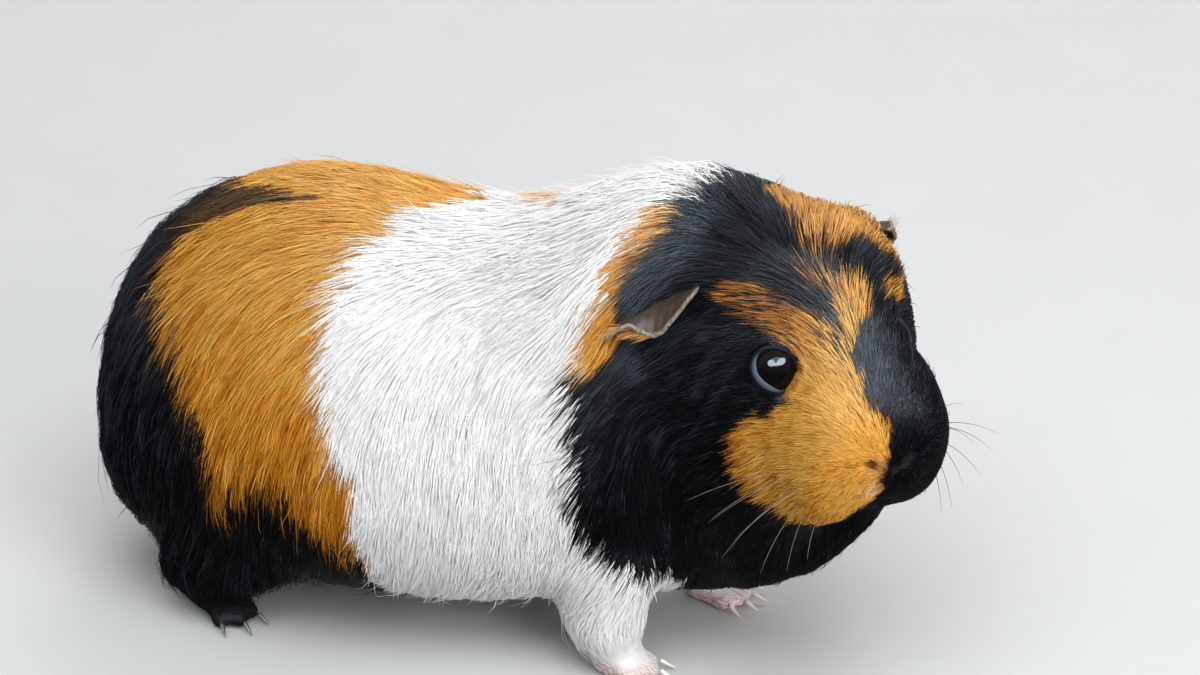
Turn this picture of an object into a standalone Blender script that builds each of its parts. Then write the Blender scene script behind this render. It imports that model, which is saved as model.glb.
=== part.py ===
"""A guinea pig, life size, standing still on four feet with its head turned to its right.

Metres, +Z up. +X points from the rump to the shoulders and +Y to the animal's left. The floor
is z = 0, and the origin is the middle of the model's box, at floor level. The outer surface of
every solid is the tips of the coat. The flesh is one lofted form, parted into named pieces by
thin cuts. The legs are lofts too, joined to their feet and parted at the ankle, and the claws,
ears and eyes are pieces of their own.
"""

import math
from typing import NamedTuple

import bmesh
import bpy
from mathutils import Matrix, Vector

MM = 0.001
GAP = 0.35 * MM  # clearance between neighbouring pieces
SIDES = {"right": -1, "left": 1}

# Colours of the coat and the bare parts, as linear RGB.
BLACK = (0.012, 0.012, 0.014)
ORANGE = (0.47, 0.19, 0.045)
WHITE = (0.83, 0.81, 0.77)
PINK = (0.52, 0.30, 0.26)
DARK_SKIN = (0.035, 0.030, 0.032)
EAR_GREY = (0.16, 0.11, 0.09)
EYE_BROWN = (0.008, 0.006, 0.006)
HORN = (0.55, 0.47, 0.40)
DARK_HORN = (0.05, 0.045, 0.04)

# Where the head points, and where its own frame starts.
HEAD_YAW = math.radians(-38)
HEAD_PITCH = math.radians(-15)
NOSE = Vector((99, -27, 65)) * MM

RING_POINTS = 16  # points of the cage round each section of the body
LEG_POINTS = 9  # and round each section of a leg

# The cuts through the body, from the back forward: a point in millimetres, a yaw and a pitch.
SHOULDER_CUT = ((30, 4, 60), -6, 0)
NECK_CUT = ((54, 3, 70), -31, 0)
MUZZLE_BACK = 16  # how far behind the nose tip the muzzle is parted from the head

# The eyes, in the head's frame. Millimetres.
EYE_RADIUS = 5.8
EYE_CENTRE = (-28.6, 16.2, 12.8)

# The ears, in the head's frame: the ends of the root, and the way from root to rim. The
# right one is held out, and the left one lies closer to the cheek.
EAR_ROOTS = {
    "right": (Vector((-45, 25.5, 27)), Vector((-69, 33, 4))),
    "left": (Vector((-45, 24.5, 28)), Vector((-63, 29.5, 11))),
}
EAR_FALLS = {"right": Vector((2, 11.5, -7.5)), "left": Vector((-3.5, 8.5, -14))}
EAR_BULGE = 3.0  # how far the flap arches outward between root and rim
EAR_WAVE = 1.3  # and how much its rim waves
EAR_THICKNESS = 1.3

# The feet: the middle of each sole in millimetres, and the way its toes point in degrees.
FEET = {
    "front_right": ((33, -25), -14),
    "front_left": ((41, 16), -8),
    "hind_right": ((-71, -28), -38),
    "hind_left": ((-68, 30), 30),
}
ANKLE_FRONT = 10.0  # height of the cut between leg and paw
ANKLE_HIND = 11.0
SOLE_FRONT = (7.2, 5.6, 4.6)  # half length, half width and half height of the pad
SOLE_HIND = (15.0, 5.8, 5.2)
SOLE_LIFT = 3.2  # height of the pad's middle, so that its underside is cut flat
TOE_RADII = (4.6, 1.9, 2.3)
TOE_LIFT = 2.0

# The claws, in millimetres: each leaves its toe just short of the tip.
CLAW_LENGTH = 3.6
CLAW_RADIUS = 0.75
CLAW_TIP_RADIUS = 0.15
CLAW_ROOT = 4.0  # how far past the toe's middle it starts
CLAW_LIFT = 2.4
CLAW_BEND = 0.12  # drop per squared millimetre along the claw


class Station(NamedTuple):
    """One section of a loft, square to its spine. Sizes are in millimetres."""

    centre: Vector
    yaw: float
    pitch: float
    half_width: float
    up: float
    down: float
    square: float = 2.0  # 2 is an ellipse, more is boxier
    pear: float = 0.0  # how much wider the lower half is than the upper


class Toe(NamedTuple):
    """One toe: its side step, its reach past the sole's middle in millimetres, its splay."""

    left: float
    reach: float
    splay: float


FRONT_TOES = (Toe(-4.4, 4.6, -22), Toe(-1.6, 6.6, -7), Toe(1.7, 6.4, 7), Toe(4.3, 4.0, 24))
HIND_TOES = (Toe(-3.9, 13.0, -14), Toe(0.0, 15.2, 0), Toe(3.9, 13.0, 14))


def heading(yaw: float, pitch: float) -> Matrix:
    """The turn that takes +X to a direction of that yaw and pitch, and keeps +Y level."""
    return Matrix.Rotation(yaw, 3, "Z") @ Matrix.Rotation(-pitch, 3, "Y")


def in_head(forward: float, left: float, up: float) -> Vector:
    """A point of the head's own frame, in millimetres from the nose tip, in the part's frame."""
    turn = heading(HEAD_YAW, HEAD_PITCH)
    return NOSE + turn @ (Vector((forward, left, up)) * MM)


def trunk_station(x, z, half_width, up, down, y=0.0, yaw=0.0, pitch=0.0, **shape) -> Station:
    """A section of the trunk or neck at a place given in millimetres."""
    centre = Vector((x, y, z)) * MM
    return Station(centre, math.radians(yaw), math.radians(pitch), half_width, up, down, **shape)


def head_station(back, half_width, up, down, lift=0.0, tilt=0.0, **shape) -> Station:
    """A section of the head, that many millimetres behind the nose tip."""
    centre = in_head(-back, 0, lift)
    pitch = HEAD_PITCH + math.radians(tilt)
    return Station(centre, HEAD_YAW, pitch, half_width, up, down, **shape)


def leg_station(foot, x, y, z, half_width, ahead, behind) -> Station:
    """A level section of a leg, placed in millimetres from the middle of the foot's sole."""
    centre = Vector((foot[0] + x, foot[1] + y, z)) * MM
    return Station(centre, 0, math.radians(-90), half_width, ahead, behind)


BODY = [
    trunk_station(-105, 43, 12, 14, 14),  # rump
    trunk_station(-100.5, 45, 29, 32, 32, pear=0.05),
    trunk_station(-90, 46, 42, 45, 43, pear=0.12),  # haunches
    trunk_station(-70, 48, 49, 54, 45, pear=0.16),
    trunk_station(-47, 49, 52, 58, 46, pear=0.15),
    trunk_station(-24, 49, 52, 54, 47, pear=0.13),  # loins
    trunk_station(0, 50, 50, 52, 47, y=1, pear=0.12),  # ribs
    trunk_station(21, 54, 47, 61, 46, y=2, yaw=-3, pear=0.08),
    trunk_station(37, 60, 45, 60.5, 50, y=3, yaw=-11, pear=0.05),  # shoulders
    trunk_station(50, 66, 42, 50, 54, y=3, yaw=-22, pitch=4, pear=0.08),  # nape
    head_station(49, 36, 35, 65, tilt=15, square=2.3, pear=0.02),  # ears
    head_station(38, 32, 40.5, 58, tilt=12, square=2.35, pear=0.10),  # crown and jowls
    head_station(28, 25, 35.5, 46, tilt=8, square=2.3, pear=0.30),  # eyes
    head_station(18, 22, 26, 31, tilt=4, square=2.4, pear=0.18),  # bridge of the nose
    head_station(9, 20.5, 19, 22, square=2.5, pear=0.10),  # whisker pads
    head_station(3, 17.5, 13.5, 18, square=2.5, pear=0.12),  # lips
    head_station(0, 9.5, 8, 10, square=2.2),  # nose
]


def new_collection(name: str) -> bpy.types.Collection:
    """A collection linked into the scene."""
    group = bpy.data.collections.new(name)
    bpy.context.scene.collection.children.link(group)
    return group


def new_material(name: str, colour, roughness: float) -> bpy.types.Material:
    """A plain Principled finish."""
    finish = bpy.data.materials.new(name)
    finish.use_nodes = True
    shader = finish.node_tree.nodes["Principled BSDF"]
    shader.inputs["Base Color"].default_value = (*colour, 1)
    shader.inputs["Roughness"].default_value = roughness
    finish.diffuse_color = (*colour, 1)
    return finish


def new_object(name: str, bm, group) -> bpy.types.Object:
    """A named, smooth-shaded object of that bmesh, which is freed, with its faces out."""
    bmesh.ops.recalc_face_normals(bm, faces=bm.faces)
    if bm.calc_volume(signed=True) < 0:
        bmesh.ops.reverse_faces(bm, faces=bm.faces)
    mesh = bpy.data.meshes.new(name)
    bm.to_mesh(mesh)
    bm.free()
    mesh.polygons.foreach_set("use_smooth", [True] * len(mesh.polygons))
    obj = bpy.data.objects.new(name, mesh)
    group.objects.link(obj)
    return obj


def as_cutter(obj: bpy.types.Object) -> bpy.types.Object:
    """Marks an object as one that only cuts others."""
    obj.hide_render = True
    obj.display_type = "WIRE"
    return obj


def boolean(obj, cutter, operation: str, overlapping=False) -> None:
    """Adds an exact Boolean modifier. The pieces of an overlapping cutter run into each other."""
    step = obj.modifiers.new(f"{operation.lower()} {cutter.name}", "BOOLEAN")
    step.operation = operation
    step.solver = "EXACT"
    step.use_self = overlapping
    step.object = cutter


def subdivide(obj, levels: int) -> None:
    """Adds a Subdivision Surface with the same level in the view and the render."""
    smooth = obj.modifiers.new("smooth", "SUBSURF")
    smooth.levels = levels
    smooth.render_levels = levels


def evaluated_bmesh(obj) -> bmesh.types.BMesh:
    """The object's mesh with its modifiers applied."""
    depsgraph = bpy.context.evaluated_depsgraph_get()
    bm = bmesh.new()
    bm.from_object(obj, depsgraph)
    return bm


def grown(obj, name: str, by: float, group) -> bpy.types.Object:
    """A cutter that stands off the object's evaluated surface by a distance."""
    bm = evaluated_bmesh(obj)
    bm.normal_update()
    steps = [vert.normal * by for vert in bm.verts]
    for vert, step in zip(bm.verts, steps):
        vert.co += step
    return as_cutter(new_object(name, bm, group))


def keep(bm, point: Vector, normal: Vector) -> None:
    """Keeps the part of a closed mesh that lies on the normal's side of a plane, and caps it."""
    everything = bm.verts[:] + bm.edges[:] + bm.faces[:]
    bmesh.ops.bisect_plane(bm, geom=everything, plane_co=point, plane_no=normal, clear_inner=True)
    rim = [edge for edge in bm.edges if edge.is_boundary]
    caps = bmesh.ops.holes_fill(bm, edges=rim)["faces"]
    bmesh.ops.triangulate(bm, faces=caps)


def slice_between(source, name, group, behind=None, ahead=None) -> bpy.types.Object:
    """The piece of an object between two cuts, each a point and the normal that faces forward."""
    bm = evaluated_bmesh(source)
    if behind:
        point, normal = behind
        keep(bm, point + normal * GAP / 2, normal)
    if ahead:
        point, normal = ahead
        keep(bm, point - normal * GAP / 2, -normal)
    return new_object(name, bm, group)


def section_point(station: Station, angle: float) -> Vector:
    """The point of a section at an angle that runs from its left side up over its top."""
    side, rise = math.cos(angle), math.sin(angle)
    power = 2 / station.square
    half_width = station.half_width * (1 - station.pear * rise)
    reach = station.up if rise > 0 else station.down
    left = half_width * math.copysign(abs(side) ** power, side)
    up = reach * math.copysign(abs(rise) ** power, rise)
    turn = heading(station.yaw, station.pitch)
    return station.centre + turn @ (Vector((0, left, up)) * MM)


def loft(name: str, stations, points: int, group) -> bpy.types.Object:
    """A closed cage through the stations' sections, with a fan of faces over each end."""
    bm = bmesh.new()
    rings = []
    for station in stations:
        angles = [2 * math.pi * k / points for k in range(points)]
        rings.append([bm.verts.new(section_point(station, a)) for a in angles])
    for behind, ahead in zip(rings, rings[1:]):
        for k in range(points):
            m = (k + 1) % points
            bm.faces.new((behind[k], behind[m], ahead[m], ahead[k]))
    for ring, station in ((rings[0], stations[0]), (rings[-1], stations[-1])):
        tip = bm.verts.new(station.centre)
        for k in range(points):
            bm.faces.new((ring[k], ring[(k + 1) % points], tip))
    obj = new_object(name, bm, group)
    subdivide(obj, 1)
    return obj


def add_ellipsoid(bm, centre, radii, yaw, segments, rings) -> None:
    """A sphere primitive scaled to three radii and turned about the vertical. Millimetres."""
    size = Matrix.Diagonal((*radii, 1)) * MM
    size[3][3] = 1
    place = Matrix.Translation(Vector(centre) * MM) @ Matrix.Rotation(yaw, 4, "Z") @ size
    bmesh.ops.create_uvsphere(bm, u_segments=segments, v_segments=rings, radius=1, matrix=place)


def cut_planes() -> dict:
    """The planes that part the body: behind the shoulders, the head and the muzzle."""
    planes = {}
    for name, (point, yaw, pitch) in {"shoulder": SHOULDER_CUT, "neck": NECK_CUT}.items():
        normal = heading(math.radians(yaw), math.radians(pitch)) @ Vector((1, 0, 0))
        planes[name] = (Vector(point) * MM, normal)
    forward = heading(HEAD_YAW, HEAD_PITCH) @ Vector((1, 0, 0))
    planes["muzzle"] = (in_head(-MUZZLE_BACK, 0, 0), forward)
    return planes


def build_flesh(body, group) -> dict:
    """Parts the lofted body into trunk, neck, head and muzzle."""
    planes = cut_planes()
    return {
        "trunk": slice_between(body, "trunk", group, ahead=planes["shoulder"]),
        "neck": slice_between(body, "neck", group, planes["shoulder"], planes["neck"]),
        "head": slice_between(body, "head", group, planes["neck"], planes["muzzle"]),
        "muzzle": slice_between(body, "muzzle", group, behind=planes["muzzle"]),
    }


def build_eyes(head, group, cutters) -> None:
    """Both eyeballs, each in a socket cut in the head."""
    for side, sign in SIDES.items():
        forward, left, up = EYE_CENTRE
        centre = in_head(forward, sign * left, up)
        for name, radius, where in (
            (f"eye_{side}", EYE_RADIUS * MM, group),
            (f"socket_{side}", EYE_RADIUS * MM + GAP, cutters),
        ):
            bm = bmesh.new()
            place = Matrix.Translation(centre)
            bmesh.ops.create_uvsphere(bm, u_segments=16, v_segments=10, radius=radius, matrix=place)
            obj = new_object(name, bm, where)
        boolean(head, as_cutter(obj), "DIFFERENCE")


def ear_point(side: str, u: float, v: float) -> Vector:
    """A point of an ear's flap, in the head's frame with both ears on the left. Millimetres.

    u runs from -1 at the front of the root to 1 at its back, and v from 0 at the root to 1 at
    the rim. The flap leaves the head sideways, arches over and hangs down with a waved rim.
    """
    front, back = EAR_ROOTS[side]
    root = front.lerp(back, (u + 1) / 2)
    reach = v * math.sqrt(max(0.0, 1 - abs(u) ** 2.6))
    arch = EAR_BULGE * math.sin(math.pi * v) * (1 - u * u)
    wave = EAR_WAVE * v * v * math.sin(2.5 * math.pi * u)
    return root + EAR_FALLS[side] * reach + Vector((0, arch + wave, 0.5 * arch))


def build_ears(shell, group) -> None:
    """Both ears: a bent grid made thick, trimmed where its root meets the head."""
    for side, sign in SIDES.items():
        bm = bmesh.new()
        bmesh.ops.create_grid(bm, x_segments=9, y_segments=5, size=1)
        for vert in bm.verts:
            forward, left, up = ear_point(side, 0.97 * vert.co.x, (vert.co.y + 1) / 2)
            vert.co = in_head(forward, sign * left, up)
        ear = new_object(f"ear_{side}", bm, group)
        thick = ear.modifiers.new("thickness", "SOLIDIFY")
        thick.thickness = EAR_THICKNESS * MM
        thick.offset = 0
        boolean(ear, shell, "DIFFERENCE")


def front_leg(name, foot, group) -> bpy.types.Object:
    """A foreleg from inside the chest down to the wrist."""
    stations = [
        leg_station(foot, -5, 2, 40, 12, 16, 15),
        leg_station(foot, -5, 1, 27, 13, 17, 16),
        leg_station(foot, -4, 0, 16, 10.5, 12, 12),
        leg_station(foot, -3, 0, 9, 7.5, 8, 8),
        leg_station(foot, -1, 0, 4.5, 5.5, 6, 6),
    ]
    return loft(name, stations, LEG_POINTS, group)


def hind_leg(name, foot, sign, group) -> bpy.types.Object:
    """A hind leg: the haunch outside the flank, down to the heel."""
    stations = [
        leg_station(foot, 6, 0, 50, 10, 18, 14),
        leg_station(foot, 6, 4 * sign, 37, 13, 24, 17),
        leg_station(foot, 6, 5 * sign, 22, 14.5, 26, 16),
        leg_station(foot, 3, 5 * sign, 11, 12.5, 22, 12),
        leg_station(foot, -1, 1 * sign, 5, 8, 13, 9),
    ]
    return loft(name, stations, LEG_POINTS, group)


def toe_place(foot, toe, turn, lift, ahead=0.0) -> Vector:
    """A point of a toe in millimetres, some way past its middle, at a height."""
    middle = Vector((*foot, 0)) + heading(turn, 0) @ Vector((toe.reach, toe.left, lift))
    return middle + heading(turn + math.radians(toe.splay), 0) @ Vector((ahead, 0, 0))


def add_claw(bm, foot, toe, turn) -> None:
    """A small bent cone that leaves the toe's tip and points down to the floor."""
    cone = bmesh.ops.create_cone(
        bm,
        cap_ends=True,
        segments=8,
        radius1=CLAW_RADIUS,
        radius2=CLAW_TIP_RADIUS,
        depth=CLAW_LENGTH,
    )
    root = toe_place(foot, toe, turn, CLAW_LIFT, CLAW_ROOT)
    point_out = heading(turn + math.radians(toe.splay), 0)
    for vert in cone["verts"]:
        along = vert.co.z + CLAW_LENGTH / 2
        shape = Vector((along, vert.co.y, vert.co.x - CLAW_BEND * along * along))
        vert.co = (root + point_out @ shape) * MM


def build_claws(name, foot, toes, turn, group) -> list:
    """The claws of one foot, each an object of its own."""
    claws = []
    for number, toe in enumerate(toes, 1):
        bm = bmesh.new()
        add_claw(bm, foot, toe, turn)
        claws.append(new_object(f"claw_{name}_{number}", bm, group))
    return claws


def nail_beds(name, claws, group) -> bpy.types.Object:
    """One cutter that clears all the claws of a foot."""
    beds = bmesh.new()
    for claw in claws:
        one = grown(claw, f"bed_{claw.name}", GAP, group)
        beds.from_mesh(one.data)
        bpy.data.objects.remove(one)
    return as_cutter(new_object(f"nail_beds_{name}", beds, group))


def build_foot(name, leg, group, cutters, shell) -> None:
    """Joins sole and toes to the leg, adds the claws, and parts leg from paw at the ankle."""
    foot, degrees = FEET[name]
    turn = math.radians(degrees)
    front = name.startswith("front")
    toes = FRONT_TOES if front else HIND_TOES
    ankle = ANKLE_FRONT if front else ANKLE_HIND
    pad = bmesh.new()
    radii = SOLE_FRONT if front else SOLE_HIND
    add_ellipsoid(pad, (*foot, SOLE_LIFT), radii, turn, segments=14, rings=8)
    boolean(leg, as_cutter(new_object(f"sole_{name}", pad, cutters)), "UNION")
    digits = bmesh.new()
    for toe in toes:
        middle = toe_place(foot, toe, turn, TOE_LIFT)
        yaw = turn + math.radians(toe.splay)
        add_ellipsoid(digits, middle, TOE_RADII, yaw, segments=8, rings=6)
    digits = as_cutter(new_object(f"toes_{name}", digits, cutters))
    boolean(leg, digits, "UNION", overlapping=True)
    claws = build_claws(name, foot, toes, turn, group)
    boolean(leg, nail_beds(name, claws, cutters), "DIFFERENCE")
    up = Vector((0, 0, 1))
    wrist = (Vector((0, 0, ankle)) * MM, up)
    floor = (Vector((0, 0, -GAP / 2)), up)
    upper = slice_between(leg, f"leg_{name}", group, behind=wrist)
    paw = slice_between(leg, f"paw_{name}", group, behind=floor, ahead=wrist)
    for piece in (upper, paw):
        boolean(piece, shell, "DIFFERENCE")


def build_legs(shell, group, cutters) -> None:
    """All four legs with their paws and claws."""
    for name, (foot, _) in FEET.items():
        end, side = name.split("_")
        if end == "front":
            leg = front_leg(f"whole_{name}", foot, cutters)
        else:
            leg = hind_leg(f"whole_{name}", foot, SIDES[side], cutters)
        build_foot(name, as_cutter(leg), group, cutters, shell)


def finish_of(name: str) -> tuple:
    """The colour and roughness of a piece, from its name."""
    dark = "hind" in name
    finishes = {
        "trunk": (WHITE, 0.75),
        "neck": (WHITE, 0.75),
        "head": (BLACK, 0.7),
        "muzzle": (ORANGE, 0.75),
        "eye": (EYE_BROWN, 0.05),
        "ear": (EAR_GREY, 0.6),
        "leg": (BLACK if dark else WHITE, 0.75),
        "paw": (DARK_SKIN if dark else PINK, 0.6),
        "claw": (DARK_HORN if dark else HORN, 0.4),
    }
    return finishes[name.split("_")[0]]


def centre_on_floor(group) -> None:
    """Moves every piece so that the origin is under the middle of the model's box."""
    depsgraph = bpy.context.evaluated_depsgraph_get()
    corners = []
    for obj in group.objects:
        shape = obj.evaluated_get(depsgraph)
        corners += [shape.matrix_world @ Vector(corner) for corner in shape.bound_box]
    for axis in (0, 1):
        middle = (max(c[axis] for c in corners) + min(c[axis] for c in corners)) / 2
        for obj in bpy.data.objects:
            obj.location[axis] -= middle


def main() -> None:
    """Builds every piece of the animal."""
    for obj in list(bpy.data.objects):
        bpy.data.objects.remove(obj)
    animal = new_collection("guinea_pig")
    cutters = new_collection("cutters")
    body = as_cutter(loft("body", BODY, RING_POINTS, cutters))
    flesh = build_flesh(body, animal)
    shell = grown(body, "body_with_gap", GAP, cutters)
    build_eyes(flesh["head"], animal, cutters)
    build_ears(shell, animal)
    build_legs(shell, animal, cutters)
    for obj in animal.objects:
        obj.data.materials.append(new_material(f"{obj.name}_finish", *finish_of(obj.name)))
    bpy.context.view_layer.update()
    centre_on_floor(animal)


main()
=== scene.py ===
"""A guinea pig, life size, standing still on four feet with its head turned to its right.

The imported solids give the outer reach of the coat. One skin is drawn over them and set in by the
depth of the coat, and the coat itself is thousands of thin closed tufts that are combed over that
skin. Skin and coat take their patches of black, orange and white from the same rules.
Sizes are in metres unless a name or a comment says millimetres.
"""

import logging
import math
from collections.abc import Iterator
from contextlib import contextmanager
from dataclasses import dataclass
from enum import Enum

import bmesh
import bpy
import numpy as np
from bmesh.types import BMesh
from bpy.types import ID, Material, Mesh, Node, NodeSocket, Object
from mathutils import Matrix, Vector
from mathutils.bvhtree import BVHTree


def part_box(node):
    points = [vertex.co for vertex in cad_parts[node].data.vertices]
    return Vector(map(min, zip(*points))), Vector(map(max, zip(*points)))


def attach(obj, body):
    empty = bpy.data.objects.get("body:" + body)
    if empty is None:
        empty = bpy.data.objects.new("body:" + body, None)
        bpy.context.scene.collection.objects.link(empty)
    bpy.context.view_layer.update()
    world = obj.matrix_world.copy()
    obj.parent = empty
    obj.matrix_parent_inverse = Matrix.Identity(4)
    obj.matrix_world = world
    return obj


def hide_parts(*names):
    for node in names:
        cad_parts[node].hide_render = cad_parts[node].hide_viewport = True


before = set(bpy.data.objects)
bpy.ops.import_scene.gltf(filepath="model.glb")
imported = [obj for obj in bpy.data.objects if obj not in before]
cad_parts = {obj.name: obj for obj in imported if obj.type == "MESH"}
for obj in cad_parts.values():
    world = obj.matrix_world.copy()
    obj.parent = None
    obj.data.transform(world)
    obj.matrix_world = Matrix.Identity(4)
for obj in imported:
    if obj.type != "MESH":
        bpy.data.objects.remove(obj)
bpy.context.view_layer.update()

Array, Random = np.ndarray, np.random.Generator
MM = 0.001
BODY = "root"
FLESH = ["trunk", "neck", "head", "muzzle"]
LEGS = ["front_right", "front_left", "hind_right", "hind_left"]
LIMBS = [f"{part}_{leg}" for part in ("leg", "paw") for leg in LEGS]
CORE_ASIDE = 2  # the trunk's middle line lies this far to the left, in millimetres
CORE_HEIGHT = 50  # and this far up
WAVES = 8  # how many plane waves make a ripple
log = logging.getLogger("guinea_pig")


class Side(Enum):
    """A side of the animal, with its sign across the body."""

    RIGHT = -1
    LEFT = 1

    @property
    def word(self) -> str:
        """The side's name, as the nodes have it."""
        return self.name.lower()


def unit(vectors: Array) -> Array:
    """Scales each row to length one."""
    return vectors / np.maximum(np.linalg.norm(vectors, axis=1, keepdims=True), 1e-12)


def tangent(vectors: Array, normals: Array) -> Array:
    """Lays each row flat on the plane that its normal stands on, at length one."""
    return unit(vectors - normals * (vectors * normals).sum(1, keepdims=True))


def ramp(values: Array, low: float, high: float) -> Array:
    """Runs smoothly from 0 at low to 1 at high."""
    t = np.clip((values - low) / (high - low), 0, 1)
    return t * t * (3 - 2 * t)


def ripple(points: Array, size: float, seed: int) -> Array:
    """A smooth random field made of plane waves.

    Args:
        points: places to read it at, one per row.
        size: the usual length of a wave.
        seed: which field.

    Returns:
        One number per point, about 1 in size.
    """
    rng = np.random.default_rng(seed)
    ways = unit(rng.normal(size=(WAVES, 3))) * rng.uniform(0.6, 1.6, (WAVES, 1))
    shift = rng.uniform(0, 2 * math.pi, WAVES)
    return np.sin(points @ ways.T * (2 * math.pi / size) + shift).sum(1) / math.sqrt(WAVES / 2)


def pick(low: Array | float, high: Array | float, share: Array) -> Array:
    """Mixes low into high by each point's share."""
    return low + (high - low) * share


def bell(values: Array, width: float) -> Array:
    """1 at 0, and less the further a value is from it."""
    return np.exp(-((values / width) ** 2))


def glow(points: Array, middle: tuple | Array, radius: float) -> Array:
    """1 for points at the middle, and less the further they are from it."""
    return bell(np.linalg.norm(points - np.array(middle), axis=1), radius)


def read_off(table: tuple, at: Array) -> Array:
    """Reads a table of (place, value) rows at places between them."""
    return np.interp(at, *np.array(table).T)


@dataclass(frozen=True)
class HeadAxes:
    """The head's own frame: forward, left and up from the nose tip, in millimetres."""

    nose: Array
    axes: Array

    @classmethod
    def from_eyes(cls, pitch: float, behind: tuple) -> "HeadAxes":
        """Finds the frame from where the two eyes are.

        Args:
            pitch: how far the nose points down.
            behind: where the middle between the eyes lies in the frame, in millimetres.

        Returns:
            The head's frame.
        """
        right, left = (sum(map(np.array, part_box(f"eye_{side.word}"))) / 2 for side in Side)
        sideways = (left - right) / np.linalg.norm(left - right)
        yaw = math.atan2(-sideways[0], sideways[1])
        level = math.cos(pitch)
        forward = np.array([level * math.cos(yaw), level * math.sin(yaw), math.sin(pitch)])
        axes = np.array([forward, sideways, np.cross(forward, sideways)])
        nose = (right + left) / 2 - np.array(behind) * MM @ axes
        return cls(nose, axes)

    def local(self, points: Array) -> Array:
        """The points in the head's frame, in millimetres."""
        return (points - self.nose) @ self.axes.T / MM

    def world(self, points: Array) -> Array:
        """Points of the head's frame back in the model's frame."""
        return self.nose + np.asarray(points, float) * MM @ self.axes

    def turn(self, vectors: Array) -> Array:
        """Directions of the head's frame in the model's frame."""
        return np.asarray(vectors, float) @ self.axes


HEAD = HeadAxes.from_eyes(math.radians(-15), (-28.6, 0, 12.8))
WHORL = np.array([-35.5, -10.0, 32.0])  # the middle of the rosette on the crown


@dataclass(frozen=True)
class Chain:
    """A patch of the head: points in the head's frame with a radius each, joined in a line."""

    points: tuple

    def inside(self, local: Array) -> Array:
        """Measures how far inside the patch points lie.

        Args:
            local: points in the head's frame.

        Returns:
            The depth in millimetres; outside it is negative.
        """
        best = np.full(len(local), -1e9)
        for a, b in zip(self.points[:-1], self.points[1:]):
            start, end = np.array(a[:3], float), np.array(b[:3], float)
            way = end - start
            t = np.clip((local - start) @ way / max(way @ way, 1e-9), 0, 1)
            away = np.linalg.norm(local - start - t[:, None] * way, axis=1)
            best = np.maximum(best, a[3] + (b[3] - a[3]) * t - away)
        return best


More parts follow.
